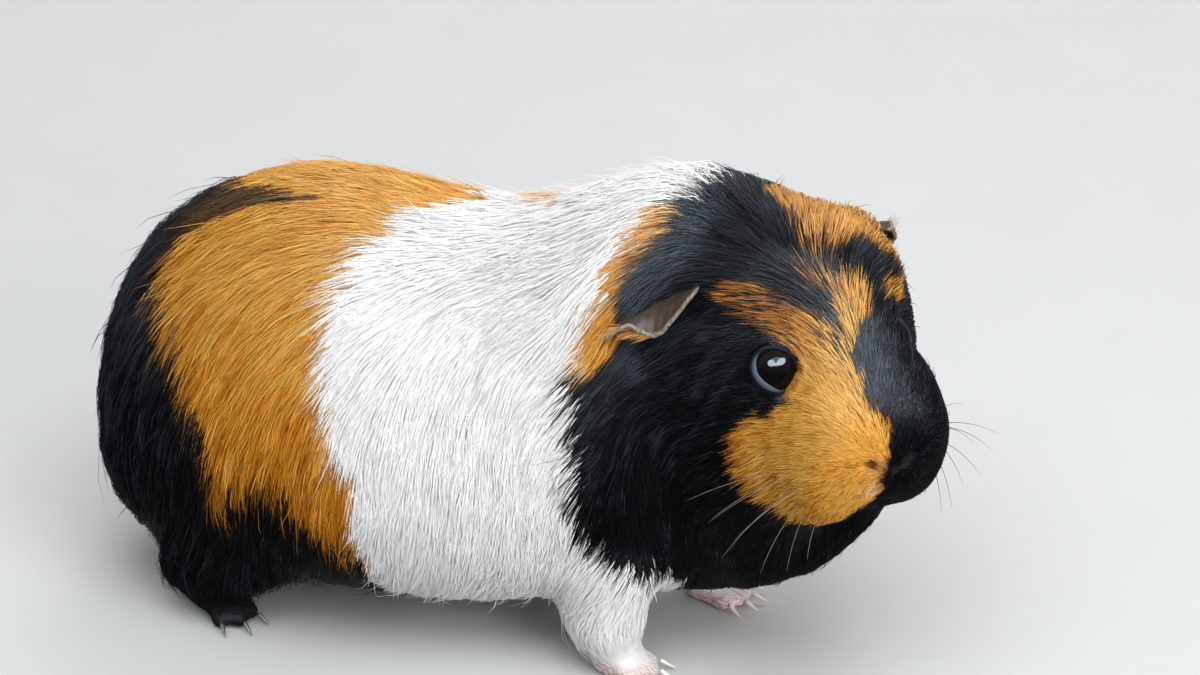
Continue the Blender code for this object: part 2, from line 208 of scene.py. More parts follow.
@dataclass(frozen=True)
class Markings:
    """Where the coat is black, orange or white.

    The trunk's borders are given as (girth angle in degrees, place along the body in
    millimetres). The angle is 0 on the right side, 90 on the back and 180 on the left side.
    """

    rump: tuple = (
        (-90, -30), (-40, -50), (-9, -58.8), (6, -60.5), (15, -67.8), (30, -73.9), (50, -82.8),
        (59, -81), (66, -77), (71, -69), (73.5, -61), (75, -50), (77, -49), (79, -57), (81.5, -64),
        (85, -70), (92, -75), (112, -77), (135, -73), (160, -66), (190, -58), (225, -48), (270, -30),
    )
    flank: tuple = (
        (-90, -22), (-35, -22.9), (-22, -22.8), (-9, -23.7), (2, -24.9), (11, -29.7), (21, -32.8),
        (31, -34.9), (39, -35.4), (50, -34.9), (59, -33.2), (67, -31), (77, -25), (83, -20), (93, -14),
        (120, -17), (145, -25), (170, -31), (200, -28), (230, -20), (270, -22),
    )
    nape: tuple = (
        (-90, 41), (-50, 41), (-34, 38.8), (-26, 32.3), (-17, 27.7), (0, 26.2), (13, 25.5), (21, 25.3),
        (31, 24.1), (38, 23.2), (42, 27), (54, 27.3), (60, 28.1), (66, 30.2), (73, 33), (79, 36.5),
        (86, 40.5), (91, 41.9), (96, 43.4), (120, 44), (150, 41), (180, 38), (215, 38), (245, 41),
        (270, 41),
    )
    # The front edge of the orange strip behind the right ear.
    strip: tuple = (
        (36, 23), (40, 28.5), (45, 31.7), (52, 33), (57, 32.2), (62, 33.2), (68, 35.4), (73, 37.3),
        (78, 38.4), (82, 38.4),
    )
    # The top of the belly's dark, as (place along the body, girth angle).
    belly: tuple = (
        (-62, -9), (-57, -10), (-50, -6), (-42, -4), (-37, -12), (-28, -20), (-24, -24), (-20, -60),
    )

    muzzle: Chain = Chain((
        (-6, -15, -6, 11), (-11, -18, 1, 12.5), (-10, -15, 8, 10.5), (-16, -13, 18, 6.5),
        (-22, -12, 23, 4.5),
    ))
    muzzle_side: Chain = Chain(((-11, -19, -4, 13), (-17, -22, -4, 10.5), (-16, -22, -6, 9)))
    nose_side: Chain = Chain(((-8, -9, 15, 6), (-3, -6, 9, 5.5), (-2, -6, 2, 5.5), (-3, -6, -5, 5)))
    brow: Chain = Chain((
        (-41.5, -21, 25.8, 1), (-39, -19.4, 26, 3), (-36.3, -18, 25.7, 4),
        (-31.6, -15.6, 24.9, 4.6), (-26.9, -13.1, 24.3, 5), (-20.4, -10.4, 22.9, 5.4),
    ))
    forehead: Chain = Chain((
        (-14.3, -5.8, 21, 2.6), (-18.6, -4.6, 24.5, 3.4), (-23.6, -1.8, 28.1, 4.5),
        (-27.6, 0.6, 30.4, 4.1),
    ))
    forehead_left: Chain = Chain((
        (-28, -1, 31.2, 3.2), (-31.5, -6.2, 31.8, 1.8), (-34.2, -9.2, 31.9, 0.5),
    ))
    far_brow: Chain = Chain(((-29.5, 11.5, 27.5, 2.2), (-31.5, 15, 25, 3.2), (-33, 19, 22, 3)))
    crown: Chain = Chain((
        (-34.5, -8.6, 32, 0.8), (-38.5, -3.8, 35.4, 3.2), (-43, 1, 36.5, 7), (-50, 9, 35, 11.5),
        (-60, 14, 30, 13.5),
    ))
    crown_far: Chain = Chain(((-47, 12, 33, 8), (-44, 20, 27, 6.5), (-43, 25, 22, 4)))
    wedge: Chain = Chain((
        (-35.2, -7.6, 32.8, 2.2), (-34, -2.5, 33.8, 2.8), (-35, 2.4, 34, 4),
        (-35.6, 7.5, 33.2, 4.9), (-35, 11.8, 30.4, 4.4), (-33.5, 15, 27.5, 2.8),
    ))
    parting: Chain = Chain((
        (-34.8, -10.3, 31.4, 2), (-31.5, -8, 31, 1.8), (-27.4, -6.6, 29.1, 1.9), (-22, -6.2, 26, 1.2),
    ))
    # The left edge of the orange of the muzzle, by how far it is behind the nose.
    blaze: tuple = (
        (0, -3.2), (1, -3.4), (3, -1.8), (6, -4.4), (9, -6.6), (13.5, -6.4), (18, -4.2), (22, -0.5),
        (26, 8),
    )
    # Places of the head where black hairs mix into the orange: middle, radius and share.
    ticking: tuple = (
        ((-29, -3, 31), 8, 0.24), ((-37.5, -3.5, 35), 6, 0.62), ((-46, -4, 36), 5, 0.45),
        ((-34, -18, 26), 8.5, 0.44), ((-8, -4, 17), 5, 0.16), ((-21, -7, 24.5), 5.5, 0.4),
        ((-33, 15, 26), 6, 0.3),
    )
    nape_spot: Chain = Chain(((-116, -30, 5, 2.5), (-104, -31, 12, 4.5), (-96, -34, 16, 3)))
    # How far a streak of 1 pushes a border of the trunk, of the belly and of the head, in millimetres.
    wander: float = 1.7
    belly_wander: float = 2.5
    head_wander: float = 0.9
    # How soft the borders are to white, round the rump's dark and in the face, in millimetres.
    white_soft: float = 0.7
    rump_soft: float = 2.8
    face_soft: float = 0.9
    mid_body: float = 5.0  # behind it the dark is the rump's and belly's, before it the face's
    strip_span: tuple = (43, 80)  # the girth angles between which the strip runs
    far_belly: float = 205  # the girth angle of the belly's border on the left side
    per_degree: float = 0.85  # millimetres of coat to a degree of girth
    eye_ring: float = 6.3  # the dark round each eye reaches this far, in millimetres
    sock_tops: tuple = (("leg", 23), ("paw", 12))
    pale_lip: tuple = ((-0.3, -5.0, -3.5), 2.8, 0.20)  # middle, radius and share of white
    # A lighter band in the rump's dark: its girth angle, half width, and share with its streaks.
    rump_band: tuple = (72, 12, 0.13, 0.05)
    blond_and_highlight: tuple = (0.07, 0.10)  # how much of the orange is left out on top, and more behind: paler hair, partly a painted highlight from above
    spot_share: float = 0.55  # how orange the spot on the nape is

    def read(self, points: Array, streak: Array) -> tuple:
        """Reads the patches.

        Args:
            points: places on the outer coat.
            streak: a random push of the borders for each place, about 1 in size.

        Returns:
            The share of orange and the share of black at each place; white is the rest.
        """
        x, y, z = (points / MM).T
        around = np.degrees(np.arctan2(z - CORE_HEIGHT, CORE_ASIDE - y))
        around = np.where(around < -90, around + 360, around)
        push = self.wander * streak
        rump, flank, nape, strip_edge = (
            read_off(border, around) for border in (self.rump, self.flank, self.nape, self.strip)
        )
        low = read_off(self.belly, x)
        local = HEAD.local(points)
        behind = rump - x + 1.5 * push
        frayed = self.belly_wander * streak
        under = np.minimum(self.per_degree * (low - around) + frayed, flank - x + 4)
        far_under = np.minimum(self.per_degree * (around - self.far_belly) + frayed, flank - x + 4)
        bottom, top = self.strip_span
        ends = np.minimum(self.per_degree * (around - bottom), self.per_degree * (top - around))
        strip = np.minimum(strip_edge - x, ends) + 0.5 * push
        strip = np.minimum(strip, x - nape + 0.6 + push)
        front = np.maximum(x - nape + push, strip)
        coloured = ramp(np.maximum(flank - x + push, front), -self.white_soft, self.white_soft)
        coloured = coloured * (1 - self.sock(points, streak))
        dark_rear = np.maximum(behind, np.maximum(under, far_under))
        dark_rear = ramp(dark_rear, -self.rump_soft, self.rump_soft)
        middle, wide, share, streaky = self.rump_band
        band = bell(around - middle, wide) * ramp(x, -90, -72)
        dark_rear = dark_rear * (1 - band * (share + streaky * streak))
        light_front = np.maximum(self.face(local, streak), strip)
        dark_front = 1 - ramp(light_front, -self.face_soft, self.face_soft)
        dark = np.where(x < self.mid_body, dark_rear, dark_front)
        dark = np.maximum(dark, self.ticked(local, points))
        spot = ramp(self.nape_spot.inside(local) + 1.5 * streak, -1, 1)
        spot = self.spot_share * spot * (1 - coloured)
        middle, radius, share = self.pale_lip
        pale_lip = share * glow(local, middle, radius)
        # paler on top: partly pale hair, partly a painted highlight from above
        on_top, behind_more = self.blond_and_highlight
        blond_and_highlight = 1 - (on_top + behind_more * ramp(-x, 0, 40)) * ramp(z, 96, 111)
        return (coloured * (1 - dark) * blond_and_highlight + spot) * (1 - pale_lip), coloured * dark

    def ticked(self, local: Array, points: Array) -> Array:
        """Finds the single black hairs that mix into the orange of the head.

        Args:
            local: points in the head's frame.
            points: the same points in the model's frame.

        Returns:
            1 for a black hair.
        """
        share = np.zeros(len(local))
        for middle, radius, most in self.ticking:
            share = np.maximum(share, most * glow(local, middle, radius))
        grain = (np.sin(points @ np.array([12.9898, 78.233, 37.719]) * 9.0e4) * 43758.5453) % 1.0
        return (grain < share).astype(float)

    def sock(self, points: Array, streak: Array) -> Array:
        """Finds the white front legs.

        Args:
            points: places on the outer coat.
            streak: the push of the borders.

        Returns:
            1 on them and 0 elsewhere.
        """
        share = np.zeros(len(points))
        for part, top in self.sock_tops:
            for side in Side:
                low, high = map(np.array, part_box(f"{part}_front_{side.word}"))
                edge = np.minimum(points - low, high - points)[:, :2].min(1) / MM + 2
                edge = np.minimum(edge, top - points[:, 2] / MM)
                share = np.maximum(share, ramp(edge + streak, -1, 1))
        return share

    def face(self, local: Array, streak: Array) -> Array:
        """Measures how far inside the orange of the head points lie.

        Args:
            local: points in the head's frame.
            streak: the push of the borders.

        Returns:
            The depth in millimetres.
        """
        f, left, _ = local.T
        blaze = read_off(self.blaze, -f)
        muzzle = np.maximum.reduce([
            patch.inside(local)
            for patch in (self.muzzle, self.muzzle_side, self.nose_side, self.forehead)
        ])
        inside = np.maximum.reduce([np.minimum(muzzle, blaze - left)] + [
            patch.inside(local)
            for patch in (self.brow, self.forehead_left, self.far_brow, self.crown, self.crown_far)
        ])
        gaps = np.maximum(self.parting.inside(local), self.wedge.inside(local))
        for side in Side:
            eye = HEAD.local(Gaze(side).ball[0][None])
            gaps = np.maximum(gaps, self.eye_ring - np.linalg.norm(local - eye, axis=1))
        return np.minimum(inside, -gaps) + self.head_wander * streak


@dataclass(frozen=True)
class Lie:
    """How the coat lies: its direction, length and depth over the whole skin."""

    body_length: float = 17.0
    crown_length: float = 10.5
    lid_length: float = 2.3
    # The hair's length on the head by how far it is behind the nose, and on the legs by height.
    face_lengths: tuple = (
        (-2, 2.0), (4, 3.7), (10, 5.6), (18, 7.0), (26, 7.6), (34, 9.0), (48, 12.5), (70, 15),
    )
    leg_lengths: tuple = ((0, 1.3), (6, 2.2), (12, 5.0), (19, 8.0))
    depth_share: float = 0.22
    reach: float = 7.5  # how far a guide counts, in millimetres
    mirrored_from: float = -12  # guides further to the right than this count on the left too
    # The angle from straight back to straight down, by girth angle (rows) and place (columns).
    stations: tuple = (-95, -70, -45, -30, -10, 5, 15, 26)
    fall: tuple = (
        (-90, (5, 5, 5, 5, 5, 5, 5, 5)),
        (-55, (60, 45, 40, 40, 40, 40, 45, 50)),
        (-25, (80, 80, 75, 80, 74, 72, 78, 62)),
        (0, (78, 80, 80, 82, 86, 90, 90, 62)),
        (15, (68, 70, 70, 70, 84, 88, 82, 50)),
        (30, (62, 62, 57, 60, 76, 80, 68, 42)),
        (45, (52, 46, 41, 38, 62, 60, 46, 60)),
        (60, (38, 32, 28, 24, 34, 30, 27, 52)),
        (75, (26, 16, 4, 2, 20, 22, 14, 32)),
        (90, (5, 5, 3, 5, 8, 8, 5, 8)),
    )
    # Places on the head, in its own frame, and the way the hair points there.
    guides: tuple = (
        ((-77, -9, 33), (-0.9, -0.4, -0.08)), ((-68, -23, 31), (-0.34, -0.94, -0.05)),
        ((-60, -10, 33), (-0.98, -0.1, -0.07)), ((-66, 5, 31), (-0.77, 0.52, -0.38)),
        ((-52, 2, 36), (-0.79, 0.57, -0.22)), ((-51, 13, 34), (-0.59, 0.71, -0.4)),
        ((-63, -27, 28), (-0.25, -0.93, -0.25)), ((-57, -17, 31), (-0.82, -0.53, -0.21)),
        ((-44, -3, 37), (-0.82, 0.55, 0.17)), ((-42, 7, 36), (-0.65, 0.75, -0.12)),
        ((-40, 18, 28), (-0.56, 0.7, -0.42)), ((-60, -32, 24), (0, -0.93, -0.37)),
        ((-52, -23, 27), (-0.74, -0.55, -0.38)), ((-45, -14, 33), (-0.88, -0.42, -0.05)),
        ((-48, -9, 36), (-0.97, 0.05, 0)), ((-36, 3, 35), (-0.5, 0.85, 0.1)),
        ((-49, -33, 19), (-0.05, -0.75, -0.65)), ((-41, -21, 25), (-0.64, -0.66, -0.4)),
        ((-34, -14, 28), (-0.73, -0.67, -0.17)), ((-29, -6, 30), (-0.85, -0.37, 0.37)),
        ((-26, 4, 29), (-0.68, 0.67, 0.3)), ((-27, 11, 26), (-0.59, 0.76, -0.27)),
        ((-34, -19, 23), (-0.67, -0.67, -0.3)), ((-28, -12, 26), (-0.87, -0.44, 0.22)),
        ((-22, -4, 26), (-0.85, 0, 0.53)), ((-18, 5, 23), (-0.82, 0.44, 0.38)),
        ((-39, -26, 16), (-0.54, -0.62, -0.57)), ((-45, -32, 7), (-0.66, -0.46, -0.59)),
        ((-18, -13, 19), (-0.93, -0.25, 0.25)), ((-12, -8, 19), (-0.85, -0.08, 0.52)),
        ((-9, 3, 18), (-0.62, 0.64, 0.45)), ((-47, -36, -3), (-0.57, -0.6, -0.55)),
        ((-36, -28, 4), (-0.53, -0.49, -0.69)), ((-24, -22, 7), (-0.69, -0.46, -0.56)),
        ((-15, -17, 13), (-0.92, -0.35, -0.19)), ((-6, -8, 15), (-0.75, -0.2, 0.6)),
        ((-3, -2, 12), (-0.45, 0.45, 0.75)), ((-44, -36, -16), (-0.18, -0.37, -0.91)),
        ((-30, -27, -9), (-0.52, -0.39, -0.76)), ((-17, -20, 5), (-0.75, -0.34, -0.57)),
        ((-7, -15, 10), (-0.7, -0.65, -0.1)), ((-41, -36, -28), (0.21, 0.02, -0.98)),
        ((-19, -23, -8), (-0.64, -0.2, -0.74)), ((-8, -19, 0), (-0.54, -0.31, -0.79)),
        ((-3, -12, 4), (-0.35, -0.9, -0.1)), ((-27, -27, -22), (-0.53, -0.27, -0.8)),
        ((-12, -20, -12), (-0.52, -0.05, -0.85)), ((-2, -12, -8), (-0.25, -0.2, -0.93)),
        ((-36, -30, -38), (0.12, 0.2, -0.97)), ((-22, -20, -32), (-0.46, -0.05, -0.88)),
        ((-17, -8, -31), (-0.42, 0.2, -0.88)), ((-35, -25, -50), (-0.2, 0.1, -0.95)),
        ((-27, -14, -48), (-0.46, 0.1, -0.88)), ((-63, -34, 25), (-0.05, -0.8, -0.6)),
        ((-59, -43, 16), (0.15, -0.55, -0.82)), ((-55, -48, 7), (0.08, -0.5, -0.86)),
        ((-52, -51, -1), (-0.25, -0.5, -0.83)),
    )

    def direction(self, points: Array, normals: Array) -> Array:
        """Finds the way that the hair points, along the skin.

        Args:
            points: places on the skin.
            normals: the skin's normals there.

        Returns:
            One direction for each place.
        """
        local = HEAD.local(points)
        away = unit(HEAD.turn(local - np.array([4.0, 0, 4.0])) + np.array([0, 0, -6.0]))
        combed, near = self.combed(local)
        far_share = ramp(points[:, 0] / MM, 34, 60)[:, None]
        way = self.over_trunk(points, normals) * (1 - far_share) + away * far_share
        way = unit(way) * (1 - near) + combed * near
        leg = self.on_leg(points)
        down = np.array([0.15, 0, -1.0])
        toes = np.array([1.0, 0, -0.25])
        foot = ramp(-points[:, 2] / MM, -11, -5)[:, None]
        way = way * (1 - leg)[:, None] + (down * (1 - foot) + toes * foot) * leg[:, None]
        return tangent(way, normals)

    def over_trunk(self, points: Array, normals: Array) -> Array:
        """Combs the trunk: back along the spine and steeper down the sides.

        Args:
            points: places on the skin.
            normals: the skin's normals there.

        Returns:
            One direction for each place.
        """
        x, y, z = (points / MM).T
        girth = np.degrees(np.arctan2(z - CORE_HEIGHT, np.abs(y - CORE_ASIDE)))
        rows = np.array([row[0] for row in self.fall], float)
        columns = np.array([np.interp(x, self.stations, row[1]) for row in self.fall])
        at = np.clip(np.searchsorted(rows, girth) - 1, 0, len(rows) - 2)
        part = np.clip((girth - rows[at]) / (rows[at + 1] - rows[at]), 0, 1)
        each = np.arange(len(x))
        angle = np.radians(columns[at, each] * (1 - part) + columns[at + 1, each] * part)[:, None]
        back = tangent(np.tile([-1.0, 0, 0], (len(x), 1)), normals)
        down = np.cross(normals, back) * np.where(y < CORE_ASIDE, 1, -1)[:, None]
        way = back * np.cos(angle) + down * np.sin(angle)
        rear = ramp(-x, 84, 99)[:, None]
        return way * (1 - rear) + tangent(np.tile([-0.2, 0, -1.0], (len(x), 1)), normals) * rear

    def combed(self, local: Array) -> tuple:
        """Combs the head after the guides.

        Args:
            local: points in the head's frame.

        Returns:
            The directions, and how much the guides count there.
        """
        total = np.zeros((len(local), 3))
        weight = np.zeros(len(local))
        for place, way in self.guides:
            for side in (1, -1) if place[1] < self.mirrored_from else (1,):
                flip = np.array([1, side, 1])
                gap = ((local - np.array(place) * flip) ** 2).sum(1)
                pull = np.exp(-gap / self.reach**2)
                total += pull[:, None] * unit(np.array([way], float)) * flip
                weight += pull
        return HEAD.turn(unit(total + 1e-9)), ramp(weight, 0.02, 0.30)[:, None]

    def on_leg(self, points: Array) -> Array:
        """Finds the legs and feet.

        Args:
            points: places on the skin.

        Returns:
            1 on them and 0 on the body.
        """
        share = np.zeros(len(points))
        for name in LEGS:
            (x0, y0, _), (x1, y1, _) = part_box(f"leg_{name}")
            (u0, v0, _), (u1, v1, _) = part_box(f"paw_{name}")
            inside = (points[:, 0] > min(x0, u0) - MM) & (points[:, 0] < max(x1, u1) + MM)
            inside &= (points[:, 1] > min(y0, v0) - MM) & (points[:, 1] < max(y1, v1) + MM)
            share = np.maximum(share, inside * ramp(-points[:, 2], -19 * MM, -13 * MM))
        return share

    def length(self, points: Array) -> Array:
        """Finds how long the hair is.

        Args:
            points: places on the skin.

        Returns:
            The lengths in millimetres.
        """
        local = HEAD.local(points)
        x, _, z = (points / MM).T
        face = read_off(self.face_lengths, -local[:, 0])
        length = pick(self.body_length, face, ramp(x, 25, 40))
        length = pick(length, self.crown_length, glow(local, WHORL, 16))
        lids = np.minimum.reduce([np.linalg.norm(points - Gaze(side).ball[0], axis=1) for side in Side])
        length = pick(length, self.lid_length, ramp(-lids, -10.5 * MM, -6.5 * MM))
        return pick(length, read_off(self.leg_lengths, z), self.on_leg(points))

    def depth(self, points: Array) -> Array:
        """How deep the coat is over the skin, in metres."""
        return self.length(points) * self.depth_share * MM


@dataclass
class Surface:
    """A triangle mesh as arrays, with what the comb needs to walk over it."""

    verts: Array
    tris: Array

    def __post_init__(self) -> None:
        """Works out the normals and the neighbours."""
        sides = np.concatenate([self.tris[:, pair] for pair in ([0, 1], [1, 2], [2, 0])])
        self.edges = np.unique(np.sort(sides, 1), axis=0)
        self.update()

    def update(self) -> None:
        """Works out the normals again after a move."""
        a, b, c = (self.verts[self.tris[:, k]] for k in range(3))
        flat = np.cross(b - a, c - a)
        self.areas = np.linalg.norm(flat, axis=1) / 2
        total = np.zeros_like(self.verts)
        for axis in range(3):
            total[:, axis] = sum(
                np.bincount(self.tris[:, k], flat[:, axis], len(self.verts)) for k in range(3)
            )
        self.normals = unit(total)

    def spread(self, values: Array, times: int, share: Array | float = 0.5) -> Array:
        """Evens out a value per vertex over its neighbours.

        Args:
            values: one row per vertex.
            times: how many rounds.
            share: how much of the neighbours' mean each round takes, for all or for each.

        Returns:
            The evened values.
        """
        values = np.array(values, float).reshape(len(self.verts), -1)
        share = np.broadcast_to(np.asarray(share, float).reshape(-1, 1), (len(values), 1))
        one, two = self.edges.T
        count = np.bincount(one, minlength=len(values)) + np.bincount(two, minlength=len(values))
        count = np.maximum(count, 1)[:, None]
        for _ in range(times):
            mean = np.stack([
                np.bincount(one, column[two], len(values)) + np.bincount(two, column[one], len(values))
                for column in values.T
            ], 1) / count
            values = values + (mean - values) * share
        return values


def mesh_arrays(mesh: Mesh) -> Surface:
    """Reads a Blender mesh.

    Args:
        mesh: a mesh of any faces.

    Returns:
        Its vertices and triangles.
    """
    mesh.calc_loop_triangles()
    verts = np.zeros(len(mesh.vertices) * 3)
    tris = np.zeros(len(mesh.loop_triangles) * 3, np.int32)
    mesh.vertices.foreach_get("co", verts)
    mesh.loop_triangles.foreach_get("vertices", tris)
    return Surface(verts.reshape(-1, 3), tris.reshape(-1, 3))


def new_mesh(name: str, verts: Array, faces: Array | list) -> Mesh:
    """Makes a Blender mesh.

    Args:
        name: its name.
        verts: its vertices.
        faces: their numbers, face by face.

    Returns:
        The mesh.
    """
    mesh = bpy.data.meshes.new(name)
    mesh.from_pydata(verts.tolist(), [], np.asarray(faces).tolist())
    return mesh


@contextmanager
def editing(mesh: Mesh) -> Iterator[BMesh]:
    """Opens a mesh for editing and writes it back at the end.

    Args:
        mesh: the mesh.

    Yields:
        The open mesh.
    """
    bm = bmesh.new()
    bm.from_mesh(mesh)
    yield bm
    bm.to_mesh(mesh)
    bm.free()


def smooth(mesh: Mesh) -> None:
    """Shades a mesh smooth."""
    mesh.polygons.foreach_set("use_smooth", [True] * len(mesh.polygons))


def in_scene(name: str, data: ID) -> Object:
    """Puts something in the scene.

    Args:
        name: the object's name.
        data: its mesh, lamp or camera.

    Returns:
        The object.
    """
    made = bpy.data.objects.new(name, data)
    bpy.context.scene.collection.objects.link(made)
    return made


def put_attribute(mesh: Mesh, name: str, values: Array) -> None:
    """Stores one number per vertex under a name that the finishes read."""
    layer = mesh.attributes.new(name, "FLOAT", "POINT")
    layer.data.foreach_set("value", np.asarray(values, np.float32))


def piece(name: str, mesh: Mesh, finish: Material) -> Object:
    """Puts a finished mesh in the scene as a piece that rides on the body.

    Args:
        name: the piece's name.
        mesh: its mesh, in the model's frame.
        finish: its material.

    Returns:
        The new object.
    """
    made = in_scene(name, mesh)
    mesh.materials.append(finish)
    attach(made, BODY)
    log.info("%s: %d vertices, %d faces", name, len(mesh.vertices), len(mesh.polygons))
    return made


class Nodes:
    """A short way to write a material's nodes."""

    def __init__(self, name: str) -> None:
        """Starts a material with one Principled shader."""
        self.material = bpy.data.materials.new(name)
        self.material.use_nodes = True
        self.tree = self.material.node_tree
        self.shader = self.tree.nodes["Principled BSDF"]

    def add(self, kind: str, inputs: dict | None = None, **settings: object) -> Node:
        """Adds a node.

        Args:
            kind: its type.
            inputs: what its sockets are linked to or filled with.
            settings: its other properties.

        Returns:
            The node.
        """
        node = self.tree.nodes.new(f"ShaderNode{kind}")
        for key, value in settings.items():
            setattr(node, key, value)
        for key, value in (inputs or {}).items():
            self.feed(node.inputs[key], value)
        return node

    def feed(self, socket: NodeSocket, value: object) -> None:
        """Links a socket, or gives it a constant."""
        if isinstance(value, NodeSocket):
            self.tree.links.new(value, socket)
        elif isinstance(value, tuple) and socket.type == "RGBA":
            socket.default_value = (*value, 1)
        else:
            socket.default_value = value

    def math(self, operation: str, *values: object) -> NodeSocket:
        """Adds one step of arithmetic.

        Args:
            operation: the step.
            values: what it works on.

        Returns:
            Its result.
        """
        node = self.add("Math", operation=operation)
        for socket, value in zip(node.inputs, values):
            self.feed(socket, value)
        return node.outputs[0]

    def total(self, *terms: tuple) -> NodeSocket:
        """The sum of two values, each with its weight."""
        return self.math("ADD", *(self.math("MULTIPLY", value, weight) for value, weight in terms))

    def mix(self, share: object, low: object, high: object) -> NodeSocket:
        """Mixes two colours.

        Args:
            share: how much of the second there is.
            low: the first.
            high: the second.

        Returns:
            The mix.
        """
        node = self.add("Mix", data_type="RGBA")
        for socket, value in zip((node.inputs[0], node.inputs[6], node.inputs[7]), (share, low, high)):
            self.feed(socket, value)
        return node.outputs[2]

    def scale(self, tone: object, colours: tuple) -> NodeSocket:
        """A colour from a scale of three: at tones 0, 0.5 and 1."""
        low, middle, high = colours
        lower = self.mix(self.rise(tone, 0.0, 0.5), low, middle)
        return self.mix(self.rise(tone, 0.5, 1.0), lower, high)

    def attribute(self, name: str) -> NodeSocket:
        """A number stored on the mesh."""
        return self.add("Attribute", attribute_name=name).outputs["Fac"]

    def noise(self, scale: float, detail: float = 3.0,
              stretch: tuple = (1, 1, 1)) -> NodeSocket:
        """Noise over the model's own place, stretched along its axes."""
        place = self.add("TexCoord").outputs["Object"]
        spot = self.add("Mapping", {"Vector": place, "Scale": stretch}).outputs[0]
        return self.add("TexNoise", {"Vector": spot, "Scale": scale, "Detail": detail}).outputs[0]

    def span(self, value: object, low: float, high: float) -> NodeSocket:
        """Takes 0 to 1 onto low to high."""
        return self.add("MapRange", {"Value": value, "To Min": low, "To Max": high}).outputs[0]

    def rise(self, value: object, low: float, high: float) -> NodeSocket:
        """Takes low to high onto 0 to 1."""
        return self.add("MapRange", {"Value": value, "From Min": low, "From Max": high}).outputs[0]

    def dress(self, colour: object, rough: tuple, bump: tuple | None = None,
              specular: float = 0.5) -> Material:
        """Joins the shader's main sockets.

        Args:
            colour: the base colour.
            rough: a value and the lowest and the highest roughness that it stands for.
            bump: the height, how strong it shows and how high it stands in metres.
            specular: how much light the surface throws back.

        Returns:
            The finished material.
        """
        self.feed(self.shader.inputs["Base Color"], colour)
        self.feed(self.shader.inputs["Roughness"], self.span(*rough))
        if bump:
            relief = self.add("Bump", dict(zip(("Height", "Strength", "Distance"), bump)))
            self.feed(self.shader.inputs["Normal"], relief.outputs[0])
        self.shader.inputs["Specular IOR Level"].default_value = specular
        return self.material


@dataclass(frozen=True)
class CoatFinish:
    """The hair's colours, from dark to light, and its gloss."""

    # the black's light end is bluish: lighter strands, with a painted sheen of the sky on them
    black: tuple = ((0.0012, 0.0012, 0.0014), (0.005, 0.0055, 0.0065), (0.034, 0.040, 0.050))
    orange: tuple = ((0.30, 0.085, 0.004), (0.72, 0.265, 0.014), (1.0, 0.56, 0.115))
    white: tuple = ((0.77, 0.77, 0.77), (0.83, 0.833, 0.83), (0.88, 0.883, 0.88))

    root_dark: float = 0.62  # how much darker an orange hair is painted at its root: painted shade from the hairs over it

    def fur(self, n: Nodes, tone: object) -> NodeSocket:
        """The colour of the coat at a tone, from the patches stored on the mesh."""
        light = n.mix(n.attribute("orange"), n.scale(tone, self.white), n.scale(tone, self.orange))
        return n.mix(n.attribute("black"), light, n.scale(tone, self.black))

    def material(self) -> Material:
        """Builds the finish from the numbers stored on each tuft.

        Returns:
            The material.
        """
        n = Nodes("coat")
        tone = n.total((n.attribute("shade"), 0.72), (n.noise(90, 2), 0.38))
        hair = self.fur(n, tone)
        # painted shade: each orange hair darkens toward its root
        root = n.mix(n.span(n.attribute("orange"), 0.0, self.root_dark), hair, (0, 0, 0))
        colour = n.mix(n.span(n.attribute("along"), 0.0, 1.0), root, hair)
        gloss = n.math("SUBTRACT", tone, n.attribute("black"))
        return n.dress(colour, (gloss, 0.34, 0.50), (n.noise(2600, 2), 0.25, 0.08 * MM), 0.065)


@dataclass(frozen=True)
class SkinFinish:
    """The skin and the short fur that lies on it: bare and pink, or dark, on the feet and nose."""

    pink: tuple = (0.42, 0.21, 0.19)
    flushed: tuple = (0.45, 0.20, 0.17)
    # inside the nostrils: a dark maroon tint with painted shade of their hollow
    inside: tuple = (0.022, 0.007, 0.009)
    dark: tuple = (0.016, 0.013, 0.014)

    def material(self) -> Material:
        """Builds the finish from the patches stored on the skin.

        Returns:
            The material.
        """
        n = Nodes("skin")
        cloud = n.noise(160, 4)
        hairs = n.noise(900, 3, (0.35, 1, 0.6))
        tone = n.total((cloud, 0.5), (hairs, 0.5))
        bare = n.mix(n.attribute("black"), n.mix(cloud, self.pink, self.flushed), self.dark)
        # painted shade inside the nostrils
        bare = n.mix(n.attribute("pit"), bare, self.inside)
        colour = n.mix(n.attribute("bare"), CoatFinish().fur(n, tone), bare)
        return n.dress(colour, (tone, 0.5, 0.75), (hairs, 0.6, 0.2 * MM), 0.035)


